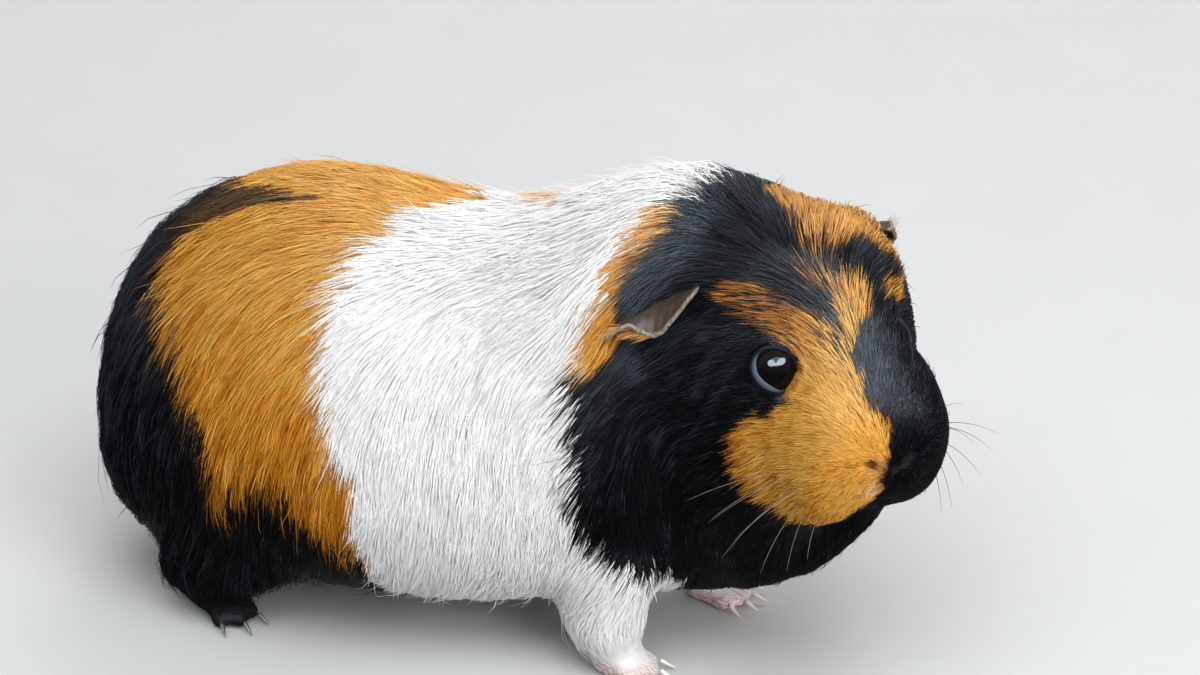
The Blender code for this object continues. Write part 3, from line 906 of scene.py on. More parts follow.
@dataclass(frozen=True)
class Gaze:
    """One eye's place, its way of looking and the outline of its lids."""

    side: Side
    opening: float = math.radians(54)
    corner: float = math.radians(8)
    low_lid: float = math.radians(13)  # how much less the lower lid opens
    left_depth: float = 3.4 * MM  # how much deeper the left ball sits than its solid

    @property
    def ball(self) -> tuple:
        """The middle and the radius of the eyeball."""
        low, high = map(np.array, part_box(f"eye_{self.side.word}"))
        deeper = HEAD.turn([[0, 0 if self.side is Side.RIGHT else -self.left_depth, 0]])[0]
        return (low + high) / 2 + deeper, float((high - low)[2]) / 2

    @property
    def axes(self) -> Array:
        """Rows: outward, toward the front corner, and up."""
        sign = self.side.value
        out = unit(HEAD.turn([[0.60, sign * 0.62, 0.50]]))[0]
        front = HEAD.turn([[0.86, -sign * 0.42, -0.30]])[0]
        front = front - out * (front @ out)
        front /= np.linalg.norm(front)
        return np.array([out, front, np.cross(out, front) * -sign])

    def rim(self, turn: Array) -> Array:
        """The angle from the outward axis to the lids' edge, at each turn from the front corner."""
        almond = self.opening + self.corner * np.clip(np.cos(turn), 0, 1) ** 6
        almond = almond + 0.3 * self.corner * np.clip(-np.cos(turn), 0, 1) ** 4
        return almond - self.low_lid * np.clip(-np.sin(turn), 0, 1) ** 2

    def polar(self, points: Array) -> tuple:
        """Each point's distance from the eyeball's middle, its angle from the axis and its turn."""
        away = points - self.ball[0]
        far = np.linalg.norm(away, axis=1)
        out, front, up = (away / far[:, None] @ self.axes.T).T
        return far, np.arccos(np.clip(out, -1, 1)), np.arctan2(up, front)

    def place(self, far: Array, angle: Array, turn: Array) -> Array:
        """The points at those distances, angles and turns."""
        aside = np.sin(angle)
        flat = np.stack([np.cos(angle), aside * np.cos(turn), aside * np.sin(turn)], -1)
        return self.ball[0] + np.asarray(far)[..., None] * (flat @ self.axes)


def grid_mesh(name: str, points: Array, close: bool) -> Mesh:
    """A smooth sheet through rows of points.

    Args:
        name: the mesh's name.
        points: rows by columns by three.
        close: whether each row joins its own start.

    Returns:
        The mesh.
    """
    rows, columns = points.shape[:2]
    faces = []
    for i in range(rows - 1):
        for j in range(columns if close else columns - 1):
            m = (j + 1) % columns
            near, far = i * columns, (i + 1) * columns
            faces.append((near + j, near + m, far + m, far + j))
    mesh = new_mesh(name, points.reshape(-1, 3), faces)
    with editing(mesh) as bm:
        bmesh.ops.remove_doubles(bm, verts=bm.verts, dist=1e-7)
        bmesh.ops.recalc_face_normals(bm, faces=bm.faces)
        if bm.calc_volume(signed=True) < 0:
            bmesh.ops.reverse_faces(bm, faces=bm.faces)
    smooth(mesh)
    return mesh


@dataclass
class Nostrils:
    """The two nostrils, which sit a little aside of the head's middle; sizes in millimetres."""

    aside: float = 2.0
    beside: float = 4.6  # from the nose's middle to a nostril's
    above: float = 4.0
    half_slit: tuple = (2.3, 1.25)

    def across(self, local: Array) -> tuple:
        """Distances from the nearest nostril's middle.

        Args:
            local: points in the head's frame.

        Returns:
            How far along the slit, how far across it, and how far beside the nose's middle.
        """
        side = np.abs(local[:, 1] + self.aside)
        out, up = side - self.beside, local[:, 2] - self.above
        slant = out * 0.80 + up * 0.60
        cross = -out * 0.60 + up * 0.80 + 0.10 * slant**2
        return slant, cross, side

    def open_to_air(self, local: Array) -> Array:
        """Whether each point lies over a nostril, where no hair grows."""
        slant, cross, _ = self.across(local)
        long, wide = self.half_slit
        return (local[:, 0] > -6) & ((slant / long) ** 2 + ((cross - 0.1) / wide) ** 2 < 1)


@dataclass
class Skin:
    """One skin over trunk, head, legs and feet, set in by the coat's depth."""

    voxel: float = 1.25 * MM
    swell: float = 0.45 * MM  # how far the solids grow into one another
    lids: float = 0.55 * MM  # how far the eyes grow into the head
    eye_black: tuple = (0.9 * MM, 1.5 * MM)  # the skin is black up to here from an eyeball
    # Places of the head, in its own frame, where the skin lies deeper: middle, radius and step.
    hollows: tuple = (((-5, -1, -13), 8, 4.0), ((-15, 3, -29), 12, 4.6), ((-9, 9, -9), 7, 1.3))
    bare_soles: tuple = (2.5, 6.5)  # the feet are bare below these heights, in millimetres
    # How deep the nostrils, the groove and the mouth go and how high the wings stand.
    pit_depth: float = 2.4 * MM
    wing_height: float = 0.45 * MM
    groove_depth: float = 0.60 * MM
    mouth_depth: float = 0.9 * MM

    def build(self, lie: Lie, markings: Markings) -> Surface:
        """Makes the skin.

        Args:
            lie: the lie of the coat, for its depth.
            markings: the coat's patches.

        Returns:
            The skin as arrays, for the comb.
        """
        outer = mesh_arrays(self.drawn_over())
        soft = np.where(outer.verts[:, 2] < 12 * MM, 0.25, 0.5)
        soft = np.where(HEAD.local(outer.verts)[:, 0] > -8, 0.3, soft)
        outer.verts = outer.spread(outer.verts, 8, soft)
        outer = self.refined(outer)
        depth = outer.spread(lie.depth(outer.verts), 12)
        normals = unit(outer.spread(outer.normals, 6))
        local = HEAD.local(outer.verts)
        for middle, radius, step in self.hollows:
            depth = depth + (step * MM * glow(local, middle, radius))[:, None]
        skin = Surface(outer.verts - normals * depth, outer.tris)
        for side in Side:
            self.open_lids(skin, Gaze(side))
        bare_nose, pits = self.carve_nose(skin)
        skin.verts[:, 2] = np.maximum(skin.verts[:, 2], 0)
        skin.update()
        orange, black = markings.read(outer.verts, ripple(outer.verts, 6 * MM, 5))
        for side in Side:
            middle, radius = Gaze(side).ball
            gap = np.linalg.norm(skin.verts - middle, axis=1) - radius
            black = np.maximum(black, ramp(-gap, -self.eye_black[1], -self.eye_black[0]))
        light = outer.spread(1 - black, 5)[:, 0]
        bare_to, fur_from = self.bare_soles
        mesh = new_mesh("skin", skin.verts, skin.tris)
        smooth(mesh)
        for name, values in {
            "orange": outer.spread(orange, 5)[:, 0] / np.maximum(light, 1e-3),
            "black": outer.spread(black, 1)[:, 0],
            "pit": pits,
            "bare": np.maximum(ramp(-outer.verts[:, 2] / MM, -fur_from, -bare_to), bare_nose),
        }.items():
            put_attribute(mesh, name, values)
        made = piece("skin", mesh, SkinFinish().material())
        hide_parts(*FLESH, *LIMBS)
        return skin

    def refined(self, surface: Surface) -> Surface:
        """Splits the triangles round the eyes and the nose and evens them out.

        Args:
            surface: the coarse surface.

        Returns:
            The finer one.
        """
        mesh = new_mesh("fine", surface.verts, surface.tris)
        spots = [(Vector(Gaze(side).ball[0]), 8.5 * MM) for side in Side]
        spots.append((Vector(HEAD.world([(-2, 0, 0)])[0]), 10 * MM))
        with editing(mesh) as bm:
            for _ in range(2):
                near = {v for v in bm.verts if any((v.co - c).length < r for c, r in spots)}
                edges = {e for v in near for e in v.link_edges if e.other_vert(v) in near}
                bmesh.ops.subdivide_edges(bm, edges=list(edges), cuts=1, use_grid_fill=True)
                bmesh.ops.triangulate(bm, faces=[f for f in bm.faces if len(f.verts) > 3])
        fine = mesh_arrays(mesh)
        bpy.data.meshes.remove(mesh)
        close = np.max([
            ramp(-np.linalg.norm(fine.verts - np.array(c), axis=1), -r, -r * 0.85) for c, r in spots
        ], axis=0)
        fine.verts = fine.spread(fine.verts, 10, 0.5 * close)
        fine.update()
        return fine

    def open_lids(self, skin: Surface, gaze: Gaze) -> None:
        """Lays the skin on the eyeball round the opening, and sinks it behind the ball inside.

        Args:
            skin: the skin, which is changed.
            gaze: the eye.
        """
        far, angle, turn = gaze.polar(skin.verts)
        radius = gaze.ball[1]
        rim = gaze.rim(turn)
        near = (far < radius + 6 * MM) & (angle < math.radians(110))
        past = np.degrees(angle - rim)
        lid = radius + (0.36 + 0.016 * np.clip(past, 0, 30)) * MM
        roll = 0.22 * MM * bell(past - 7, 5)
        blend = ramp(-past, -38, -8)
        wanted = np.maximum(far, lid) * (1 - blend) + (lid + roll) * blend
        wanted = np.where(past < 0, radius * 0.80, wanted)
        new = np.where(near, wanted, far)
        skin.verts[:] = gaze.place(new, angle, turn)

    def carve_nose(self, skin: Surface) -> tuple:
        """Sinks the nostrils, the groove under the nose and the mouth's line into the skin.

        Args:
            skin: the skin, which is changed.

        Returns:
            How bare each vertex is there, and how far inside a nostril.
        """
        local = HEAD.local(skin.verts)
        f, left, up = local.T
        nostrils = Nostrils()
        front = ramp(f, -9, -4)
        slant, cross, side = nostrils.across(local)
        pit = np.exp(-((slant / 2.2) ** 2) - (cross / 1.3) ** 2) * front
        wing = np.exp(-((slant / 2.2) ** 2) - ((cross - 1.35) / 0.75) ** 2) * front
        wing += 0.7 * np.exp(-((slant / 2.0) ** 2) - ((cross + 1.3) / 0.7) ** 2) * front
        groove = bell(left + nostrils.aside, 0.55) * ramp(-up, -2.5, 0) * ramp(up, -11, -7) * front
        lip = np.abs(up + 9.5 + 0.55 * side)
        mouth = bell(lip, 0.6) * ramp(f, -13, -9) * ramp(-side, -9, -6)
        push = self.wing_height * wing - self.pit_depth * pit
        push -= self.groove_depth * groove + self.mouth_depth * mouth
        skin.verts += skin.normals * push[:, None]
        pad = np.exp(-((side / 6.6) ** 6) - ((up - 1.6) / 4.6) ** 6) * front
        return np.clip(0.85 * pad + 0.6 * groove, 0, 1), ramp(pit, 0.12, 0.55)

    def drawn_over(self) -> Mesh:
        """Grows the flesh solids into one another and draws one closed mesh over them.

        Returns:
            The mesh.
        """
        joined = bmesh.new()
        for name in FLESH + LIMBS + [f"eye_{side.word}" for side in Side]:
            part = bmesh.new()
            part.from_mesh(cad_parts[name].data)
            bmesh.ops.remove_doubles(part, verts=part.verts, dist=1e-6)
            part.normal_update()
            grow = self.lids if name.startswith("eye") else self.swell
            for vert, step in [(v, v.normal * grow) for v in part.verts]:
                vert.co += step
            one = bpy.data.meshes.new("part")
            part.to_mesh(one)
            part.free()
            joined.from_mesh(one)
            bpy.data.meshes.remove(one)
        mesh = bpy.data.meshes.new("drawn_over")
        joined.to_mesh(mesh)
        joined.free()
        shape = in_scene("drawn_over", mesh)
        remesh = shape.modifiers.new("one_skin", "REMESH")
        remesh.mode = "VOXEL"
        remesh.voxel_size = self.voxel
        evaluated = shape.evaluated_get(bpy.context.evaluated_depsgraph_get())
        whole = bpy.data.meshes.new_from_object(evaluated)
        bpy.data.objects.remove(shape)
        return whole


@dataclass
class Comb:
    """Walks from every point of the skin along the lie of the coat."""

    skin: Surface
    lie: Lie
    steps: int = 4

    def __post_init__(self) -> None:
        """Draws a path of the local hair length from each vertex."""
        skin = self.skin
        field = self.lie.direction(skin.verts, skin.normals)
        field = tangent(skin.spread(field, 6), skin.normals)
        self.lengths = skin.spread(self.lie.length(skin.verts), 6)[:, 0] * MM
        self.depths = skin.spread(self.lie.depth(skin.verts), 6)[:, 0]
        tree = BVHTree.FromPolygons(skin.verts.tolist(), skin.tris.tolist())
        places, normals, way = [skin.verts], [skin.normals], field
        stride = (self.lengths / self.steps)[:, None]
        for _ in range(self.steps):
            ahead = places[-1] + way * stride
            found = [tree.find_nearest(p) for p in ahead.tolist()]
            faces = skin.tris[[hit[2] for hit in found]]
            places.append(np.array([hit[0] for hit in found]))
            normals.append(unit(skin.normals[faces].mean(1)))
            way = tangent(field[faces].mean(1), normals[-1])
        self.places = np.stack(places, 1)
        self.normals = np.stack(normals, 1)


@dataclass(frozen=True)
class Region:
    """A part of the coat that is one piece: its name, its slot and how many tufts are sown."""

    name: str
    slot: str
    tufts: int


class Zone(Enum):
    """The parts of the coat, each a piece of its own."""

    RUMP = Region("coat_rump", "coat_black", 24000)
    LOIN_RIGHT = Region("coat_loin_right", "coat_orange", 20500)
    LOIN_LEFT = Region("coat_loin_left", "coat_orange", 18000)
    RIBS_RIGHT = Region("coat_ribs_right", "coat_white", 20500)
    RIBS_LEFT = Region("coat_ribs_left", "coat_white", 18000)
    NECK = Region("coat_neck", "coat_black", 23500)
    CROWN = Region("coat_crown", "coat_black", 25500)
    BROW = Region("coat_brow", "coat_orange", 25000)
    FACE = Region("coat_face", "coat_orange", 31000)
    LEGS = Region("coat_legs", "coat_white", 17200)


@dataclass
class Strands:
    """The tufts of one zone as lines over the skin, before they are given a body.

    Each has the points of its way over the skin, the skin's normals there, its length, how high
    it stands, how its tip droops and sways, the way to the middle of its lock and how light the
    lock is.
    """

    paths: Array
    ups: Array
    lengths: Array
    trim: Array
    lift: Array
    droop: Array
    sway: Array
    gather: Array
    tone: Array

    def point(self, t: float, rows: Array) -> tuple:
        """Where the strands are at a share of their length.

        Args:
            t: 0 at the root and 1 at the tip.
            rows: which strands.

        Returns:
            The places, the skin's normals there and the ways the strands point.
        """
        paths, ups, lengths = self.paths[rows], self.ups[rows], self.lengths[rows]
        steps = paths.shape[1] - 1
        at = np.clip(t * self.trim[rows], 0, 1) * steps
        low = np.minimum(np.floor(at).astype(int), steps - 1)
        part = (at - low)[:, None]
        each = np.arange(len(rows))
        place = paths[each, low] * (1 - part) + paths[each, low + 1] * part
        up = unit(ups[each, low] * (1 - part) + ups[each, low + 1] * part)
        way = tangent(paths[each, low + 1] - paths[each, low], up)
        over = np.clip(t * self.trim[rows] - 1, 0, 1) * lengths
        height = self.lift[rows] * (1 - (1 - t) ** 2.6) * (1 - self.droop[rows] * t * t)
        aside = self.sway[rows] * t**1.4 * lengths
        place = place + way * over[:, None] + up * height[:, None]
        place = place + np.cross(up, way) * aside[:, None] + self.gather[rows] * t**1.4
        place[:, 2] = np.maximum(place[:, 2], 0.35 * MM)
        return place, up, way


@dataclass(frozen=True)
class Shading:
    """What makes a tuft lighter or darker, by its own tone and by painted light and shade; its shade
    runs from 0 to 1.
    """

    base: float = 0.11
    black_base: float = 0.07
    chance: tuple = (0.18, 0.15)  # from tuft to tuft, and more at the front of the head
    lock: tuple = (0.12, 0.06)  # from lock to lock, and more at the front of the head
    patchy: tuple = (0.15, 0.10)  # over the coat, and less where it is short
    back: tuple = (0.70, 0.55)  # the light from above, on colour and on black
    shadow: tuple = (36 * MM, 50 * MM)  # where that starts, on colour and on black
    muzzle: float = 0.52
    black_face: float = 0.26
    # the black on the rump is lighter: partly its own lighter hair, partly a painted sky sheen
    rump_grey_and_sheen: float = 0.22
    # painted deep shade on the black round the rosette's middle, where the hairs part
    whorl: float = 0.50
    brow: float = 0.85
    brow_place: tuple = (-31.0, -15.0, 25.0)
    dark_hair: tuple = (0.19, 0.58)  # the share of dark hairs in the face, and how dark they are
    crown: float = 0.22

    def read(self, rng: Random, strands: Strands, black: Array) -> Array:
        """Gives each tuft its shade.

        Args:
            rng: the source of random numbers.
            strands: the tufts.
            black: each one's share of black.

        Returns:
            The shades.
        """
        roots = strands.paths[:, 0]
        count = len(roots)
        head = HEAD.local(roots)
        f = head[:, 0]
        short = ramp(-strands.lengths / MM, -6, -3)
        front = ramp(f, -34, -20)
        shade = self.base + self.black_base * black
        shade = shade + (self.chance[0] + self.chance[1] * front) * rng.normal(size=count)
        shade += (self.lock[0] + self.lock[1] * front) * strands.tone
        shade += (self.patchy[0] - self.patchy[1] * short) * ripple(roots, 3.5 * MM, 51)
        shade += pick(*self.back, black) * ramp(roots[:, 2], pick(*self.shadow, black), 98 * MM)
        shade += self.muzzle * ramp(f, -28, -15) * (1 - black) - self.black_face * front * black
        # lighter black on the rump, partly a painted sky sheen
        shade += self.rump_grey_and_sheen * ramp(-roots[:, 0], 60 * MM, 85 * MM) * black
        # painted shade darkens the black round the whorl
        shade -= self.whorl * glow(head, WHORL, 10) * black
        many, dark = self.dark_hair
        dark_hairs = dark * (rng.random(count) < many) * ramp(f, -40, -20)
        shade -= self.brow * glow(head, self.brow_place, 10) + dark_hairs
        shade -= self.crown * ramp(f, -75, -60) * ramp(-f, 26, 34) * (1 - black)
        return np.clip(shade, 0, 1)


@dataclass
class Coat:
    """The whole coat: thin closed tufts that overlap and follow the lie of the hair."""

    comb: Comb
    lie: Lie
    markings: Markings
    seed: int = 11
    patch: float = 0.003  # a tuft's share of the width of its map
    long_from: float = 6.5 * MM  # tufts longer than this are long
    long_share: float = 0.17  # the share of the long tufts that bend twice
    tame_share: float = 0.988  # the rest are strays
    ring_turns: tuple = (90, 210, 330)
    # Borders between the zones, in millimetres along the body.
    rump_end: float = -62
    loin_end: float = -18
    neck_start: float = 24
    # Where crown, brow and face start: along the head's own axis and along the body.
    head_starts: tuple = ((-52, 30), (-35, 40), (-20, 40))
    # How close the tufts stand by their length, and how thick they are, in millimetres.
    closeness: tuple = ((2, 8.0), (4, 6.0), (6, 4.6), (9, 3.0), (13, 2.0), (16, 1.7))
    half_widths: tuple = ((1.5, 0.070), (4, 0.088), (8, 0.104), (17, 0.116))
    lock_sizes: tuple = ((2, 0.9), (6, 1.7), (15, 3.0))

    def zones(self, points: Array) -> Array:
        """Sorts points into the coat's zones.

        Args:
            points: places on the skin.

        Returns:
            The number of each one's zone.
        """
        x, y, _ = (points / MM).T
        f = HEAD.local(points)[:, 0]
        right = y < CORE_ASIDE
        front = np.where(right, 3, 4)
        zone = np.where(x < self.rump_end, 0, np.where(x < self.loin_end, np.where(right, 1, 2), front))
        zone = np.where(x > self.neck_start, 5, zone)
        for number, (ahead, along) in enumerate(self.head_starts, 6):
            zone = np.where((f > ahead) & (x > along), number, zone)
        return np.where(self.lie.on_leg(points) > 0.5, 9, zone)

    def density(self, points: Array, normals: Array) -> Array:
        """How close the tufts stand, against one another."""
        many = read_off(self.closeness, self.lie.length(points))
        under = ramp(-normals[:, 2], 0.55, 0.9) * (1 - self.lie.on_leg(points))
        return many * (1 - 0.6 * under)

    def build(self) -> None:
        """Makes every zone's piece."""
        skin = self.comb.skin
        middles = skin.verts[skin.tris].mean(1)
        flat = unit(skin.normals[skin.tris].mean(1))
        weight = self.density(middles, flat) * skin.areas * (middles[:, 2] > 1.2 * MM)
        zones = self.zones(middles)
        finish = CoatFinish().material()
        for number, zone in enumerate(Zone):
            rng = np.random.default_rng(self.seed + number)
            mine = np.where(zones == number, weight, 0)
            strands = self.sow(zone.value, rng, np.cumsum(mine))
            self.make_piece(zone.value, rng, strands, finish)
        self.fringe(finish)

    def fringe(self, finish: Material) -> None:
        """Hangs light hairs from under the back half of each ear.

        Args:
            finish: the coat's material.
        """
        rng = np.random.default_rng(self.seed + 90)
        region = Region("coat_ear_fringe", "coat_orange", 260)
        roots, ways, ups = [], [], []
        for ear, hang in ((Ears.right, (-0.42, -0.80, -0.38)), (Ears.left, (-0.30, 0.85, 0.10))):
            u = 0.42 + 0.55 * rng.random(region.tufts // 2)
            root = ear.point(u, 0.80 + 0.14 * rng.random(len(u)))
            out = HEAD.turn(ear.outward[None])
            way = np.array([hang]) + rng.normal(0, 0.10, (len(u), 3))
            roots.append(root - out * rng.uniform(0.5, 1.2, (len(u), 1)) * MM)
            ways.append(unit(HEAD.turn(way)))
            ups.append(np.repeat(out, len(u), 0))
        roots, ways, ups = map(np.concatenate, (roots, ways, ups))
        count = len(roots)
        lengths = rng.uniform(3.5, 6.5, count) * MM
        steps = np.linspace(0, 1, 5)[None, :, None] * lengths[:, None, None]
        strands = Strands(
            paths=roots[:, None] + ways[:, None] * steps,
            ups=np.repeat(ups[:, None], 5, 1),
            lengths=lengths,
            trim=np.ones(count),
            lift=rng.uniform(-0.3, 0.5, count) * MM,
            droop=np.full(count, 0.3),
            sway=rng.normal(0, 0.06, count),
            gather=np.zeros((count, 3)),
            tone=np.zeros(count),
        )
        orange = np.where(roots[:, 1] < CORE_ASIDE * MM, 0.9, 0.15)
        self.make_piece(region, rng, strands, finish, (orange, np.zeros(count)))

    def sow(self, region: Region, rng: Random, share: Array) -> Strands:
        """Sows the roots of a zone and takes each strand's way from the comb.

        Args:
            region: which zone.
            rng: the source of random numbers.
            share: the running total of the skin's triangles' weights.

        Returns:
            The zone's strands.
        """
        steps = (np.arange(region.tufts) + rng.random(region.tufts)) / region.tufts
        face = np.minimum(np.searchsorted(share, steps * share[-1]), len(share) - 1)
        spot = rng.random((len(face), 2))
        spot = np.where(spot.sum(1, keepdims=True) > 1, 1 - spot, spot)
        weights = np.column_stack([1 - spot.sum(1), spot])
        corners = self.comb.skin.tris[face]
        paths = (self.comb.places[corners] * weights[:, :, None, None]).sum(1)
        ups = (self.comb.normals[corners] * weights[:, :, None, None]).sum(1)
        lengths = (self.comb.lengths[corners] * weights).sum(1)
        depth = (self.comb.depths[corners] * weights).sum(1)
        clear = self.clear_of_eyes(paths)
        keep = clear > 0.1
        for joint in (0, 2):
            keep &= ~Nostrils().open_to_air(HEAD.local(paths[:, joint]))
        strands = self.style(rng, paths[keep], ups[keep], lengths[keep], depth[keep])
        strands.trim = np.minimum(strands.trim, clear[keep])
        return strands

    def style(self, rng: Random, paths: Array, ups: Array,
              lengths: Array, depth: Array) -> Strands:
        """Gives each strand its own length, height, sway and lock.

        Args:
            rng: the source of random numbers.
            paths: the points of each strand's way over the skin.
            ups: the skin's normals at those points.
            lengths: the strands' usual lengths.
            depth: the coat's depth at each root.

        Returns:
            The strands.
        """
        count = len(paths)
        roots = paths[:, 0]
        local = HEAD.local(roots)
        rank = rng.random(count)
        sleek = ramp(roots[:, 0], -34 * MM, -24 * MM) * ramp(-roots[:, 0], -44 * MM, -34 * MM)
        rank = pick(rank, 0.35 + 0.5 * rank, sleek)
        crest = glow(local, WHORL, 15) * ramp(local[:, 2], 14, 24)
        far_brow = glow(local, (-30.0, 14.0, 26.0), 7)
        pad = glow(local, (-14.0, -19.0, -13.0), 8)
        lift = depth * (0.30 + 0.72 * rank) + crest * 3.0 * MM * (0.3 + 0.7 * rank)
        lift *= 1 + 0.12 * ripple(roots, 8 * MM, 3)
        lift += Ears.raise_hair(local) * (0.6 + 0.5 * rank)
        lift += 2.2 * MM * far_brow * rank
        lift += 1.5 * MM * pad * rank
        sway = 0.055 * ripple(roots, 14 * MM, 21) + 0.04 * ripple(roots, 4.5 * MM, 22)
        sway += 0.035 * rng.normal(size=count)
        droop = 0.30 + 0.25 * rng.random(count) - 0.35 * crest - 0.4 * far_brow - 0.4 * pad
        stray = rng.random(count) > self.tame_share
        gather, tone = self.locks(rng, roots, lengths)
        return Strands(
            paths=paths,
            ups=ups,
            lengths=lengths,
            trim=rng.uniform(0.70, 1.12, count),
            lift=np.where(stray, lift * 1.3, lift),
            droop=np.where(stray, -0.15, droop),
            sway=np.where(stray, sway * 3.0, sway),
            gather=gather * rng.uniform(0.25, 0.75, (count, 1)),
            tone=tone,
        )

    def clear_of_eyes(self, paths: Array) -> Array:
        """Finds how much of each tuft's way stays off the eyeballs.

        Args:
            paths: the tufts' ways over the skin.

        Returns:
            The share of each way, or 2 where all of it does.
        """
        share = np.full(len(paths), 2.0)
        for gaze in map(Gaze, Side):
            far, angle, turn = (v.reshape(paths.shape[:2]) for v in gaze.polar(paths.reshape(-1, 3)))
            past = np.degrees(angle - gaze.rim(turn))
            over = (past < 5) & (far < gaze.ball[1] + 2.2 * MM)
            first = (over.argmax(1) - 0.6) / (paths.shape[1] - 1)
            share = np.where(over.any(1), np.minimum(share, first), share)
        return share

    def make_piece(self, region: Region, rng: Random, strands: Strands,
                   finish: Material, colours: tuple | None = None) -> None:
        """Builds the tufts of one zone as one mesh.

        Args:
            region: which zone.
            rng: the source of random numbers.
            strands: the zone's strands.
            finish: the coat's material.
            colours: the shares of orange and of black; the markings give them if left out.
        """
        count = len(strands.paths)
        roots = strands.paths[:, 0]
        everyone = np.arange(count)
        width = read_off(self.half_widths, strands.lengths / MM) * MM
        width *= rng.uniform(0.65, 1.35, count)
        seen = strands.point(0.42, everyone)[0]
        streak = 0.6 * ripple(roots, 3.2 * MM, 41) + 0.45 * ripple(roots, 9 * MM, 42)
        streak += 0.45 * rng.normal(size=count)
        orange, black = colours or self.markings.read(seen, streak)
        orange = orange / np.maximum(1 - black, 1e-3)
        shade = Shading().read(rng, strands, black)
        per_tuft = {"orange": orange, "black": black, "shade": shade}
        places = self.unwrap(roots, region)
        twice = (strands.lengths > self.long_from) & (rng.random(count) < self.long_share)
        parts = [
            self.tufts(strands, everyone[~twice], (0.42,), width, places, per_tuft),
            self.tufts(strands, everyone[twice], (0.32, 0.68), width, places, per_tuft),
        ]
        mesh = self.joined(region.name, [part for part in parts if len(part["verts"])])
        piece(region.name, mesh, finish)

    def tufts(self, strands: Strands, rows: Array, levels: tuple, width: Array,
              places: Array, per_tuft: dict) -> dict:
        """Gives strands a body: a closed spindle with a ring of three points at each level.

        Args:
            strands: the zone's strands.
            rows: which of them.
            levels: the shares of the length where the rings are.
            width: each strand's half width.
            places: each root's place on the map.
            per_tuft: the numbers that the finish reads, one per strand.

        Returns:
            The verts, faces, normals, map places and numbers of these tufts.
        """
        number = len(rows)
        root, up, way = strands.point(0.0, rows)
        columns, normals = [root[:, None] - up[:, None] * 0.25 * MM], [up[:, None]]
        along, across = [0.0], [0.5]
        white = (1 - per_tuft["orange"][rows]) * (1 - per_tuft["black"][rows])
        relief = (0.44 - 0.31 * white)[:, None]
        for level, t in enumerate(levels):
            place, up, way = strands.point(t, rows)
            side = np.cross(up, way)
            for turn in self.ring_turns:
                c, s = math.cos(math.radians(turn)), math.sin(math.radians(turn))
                out = side * c + up * s * 0.7
                columns.append((place + out * (width[rows] * (1, 0.8)[level])[:, None])[:, None])
                normals.append(unit(unit(out) * relief + up * 0.80)[:, None])
                along.append(t)
                across.append(0.5 + 0.5 * c / math.cos(math.radians(30)))
        tip, up, way = strands.point(1.0, rows)
        columns.append(tip[:, None])
        normals.append(up[:, None])
        along.append(1.0)
        across.append(0.5)
        size = len(columns)
        pattern = [(0, 1 + (k + 1) % 3, 1 + k) for k in range(3)]
        for low in range(1, size - 4, 3):
            for k in range(3):
                m = (k + 1) % 3
                pattern += [(low + k, low + m, low + 3 + m), (low + k, low + 3 + m, low + 3 + k)]
        pattern += [(size - 4 + k, size - 4 + (k + 1) % 3, size - 1) for k in range(3)]
        patch = (np.stack([along, across], 1) - 0.5) * self.patch
        numbers = {key: np.repeat(values[rows], size) for key, values in per_tuft.items()}
        numbers["along"] = np.tile(along, number)
        return {
            "verts": np.concatenate(columns, 1).reshape(-1, 3),
            "normals": np.concatenate(normals, 1).reshape(-1, 3),
            "faces": (np.array(pattern) + size * np.arange(number)[:, None, None]).reshape(-1, 3),
            "spots": (places[rows][:, None] + patch).reshape(-1, 2),
            "numbers": numbers,
        }

    def joined(self, name: str, parts: list) -> Mesh:
        """Joins lists of tufts into one mesh.

        Args:
            name: the mesh's name.
            parts: what tufts() gave.

        Returns:
            The mesh.
        """
        starts = np.cumsum([0] + [len(part["verts"]) for part in parts])
        faces = np.concatenate([part["faces"] + start for part, start in zip(parts, starts)])
        verts, normals, spots = (
            np.concatenate([part[key] for part in parts]) for key in ("verts", "normals", "spots")
        )
        mesh = bpy.data.meshes.new(name)
        mesh.vertices.add(len(verts))
        mesh.vertices.foreach_set("co", verts.astype(np.float32).ravel())
        mesh.loops.add(faces.size)
        mesh.loops.foreach_set("vertex_index", faces.astype(np.int32).ravel())
        mesh.polygons.add(len(faces))
        mesh.polygons.foreach_set("loop_start", np.arange(0, faces.size, 3, dtype=np.int32))
        mesh.polygons.foreach_set("use_smooth", np.ones(len(faces), bool))
        mesh.update(calc_edges=True)
        for key in parts[0]["numbers"]:
            put_attribute(mesh, key, np.concatenate([part["numbers"][key] for part in parts]))
        layer = mesh.uv_layers.new(name="OFBake")
        layer.uv.foreach_set("vector", spots[faces.ravel()].astype(np.float32).ravel())
        mesh.normals_split_custom_set_from_vertices(unit(normals).tolist())
        return mesh

    def locks(self, rng: Random, roots: Array, lengths: Array) -> tuple:
        """Gathers the tufts of a neighbourhood into a lock.

        Args:
            rng: the source of random numbers.
            roots: where the tufts stand.
            lengths: how long they are.

        Returns:
            The way from each root to its lock's middle, and how light that lock is.
        """
        wander = np.stack([ripple(roots, 11 * MM, 60 + k) for k in range(3)], 1) * 0.9 * MM
        size = read_off(self.lock_sizes, lengths / MM)[:, None] * MM
        cell = np.floor((roots + wander) / size).astype(int)
        _, group = np.unique(cell, axis=0, return_inverse=True)
        group = group.ravel()
        many = np.bincount(group)
        middle = np.stack([np.bincount(group, axis) / many for axis in roots.T], 1)
        return middle[group] - roots, rng.normal(size=len(many))[group]

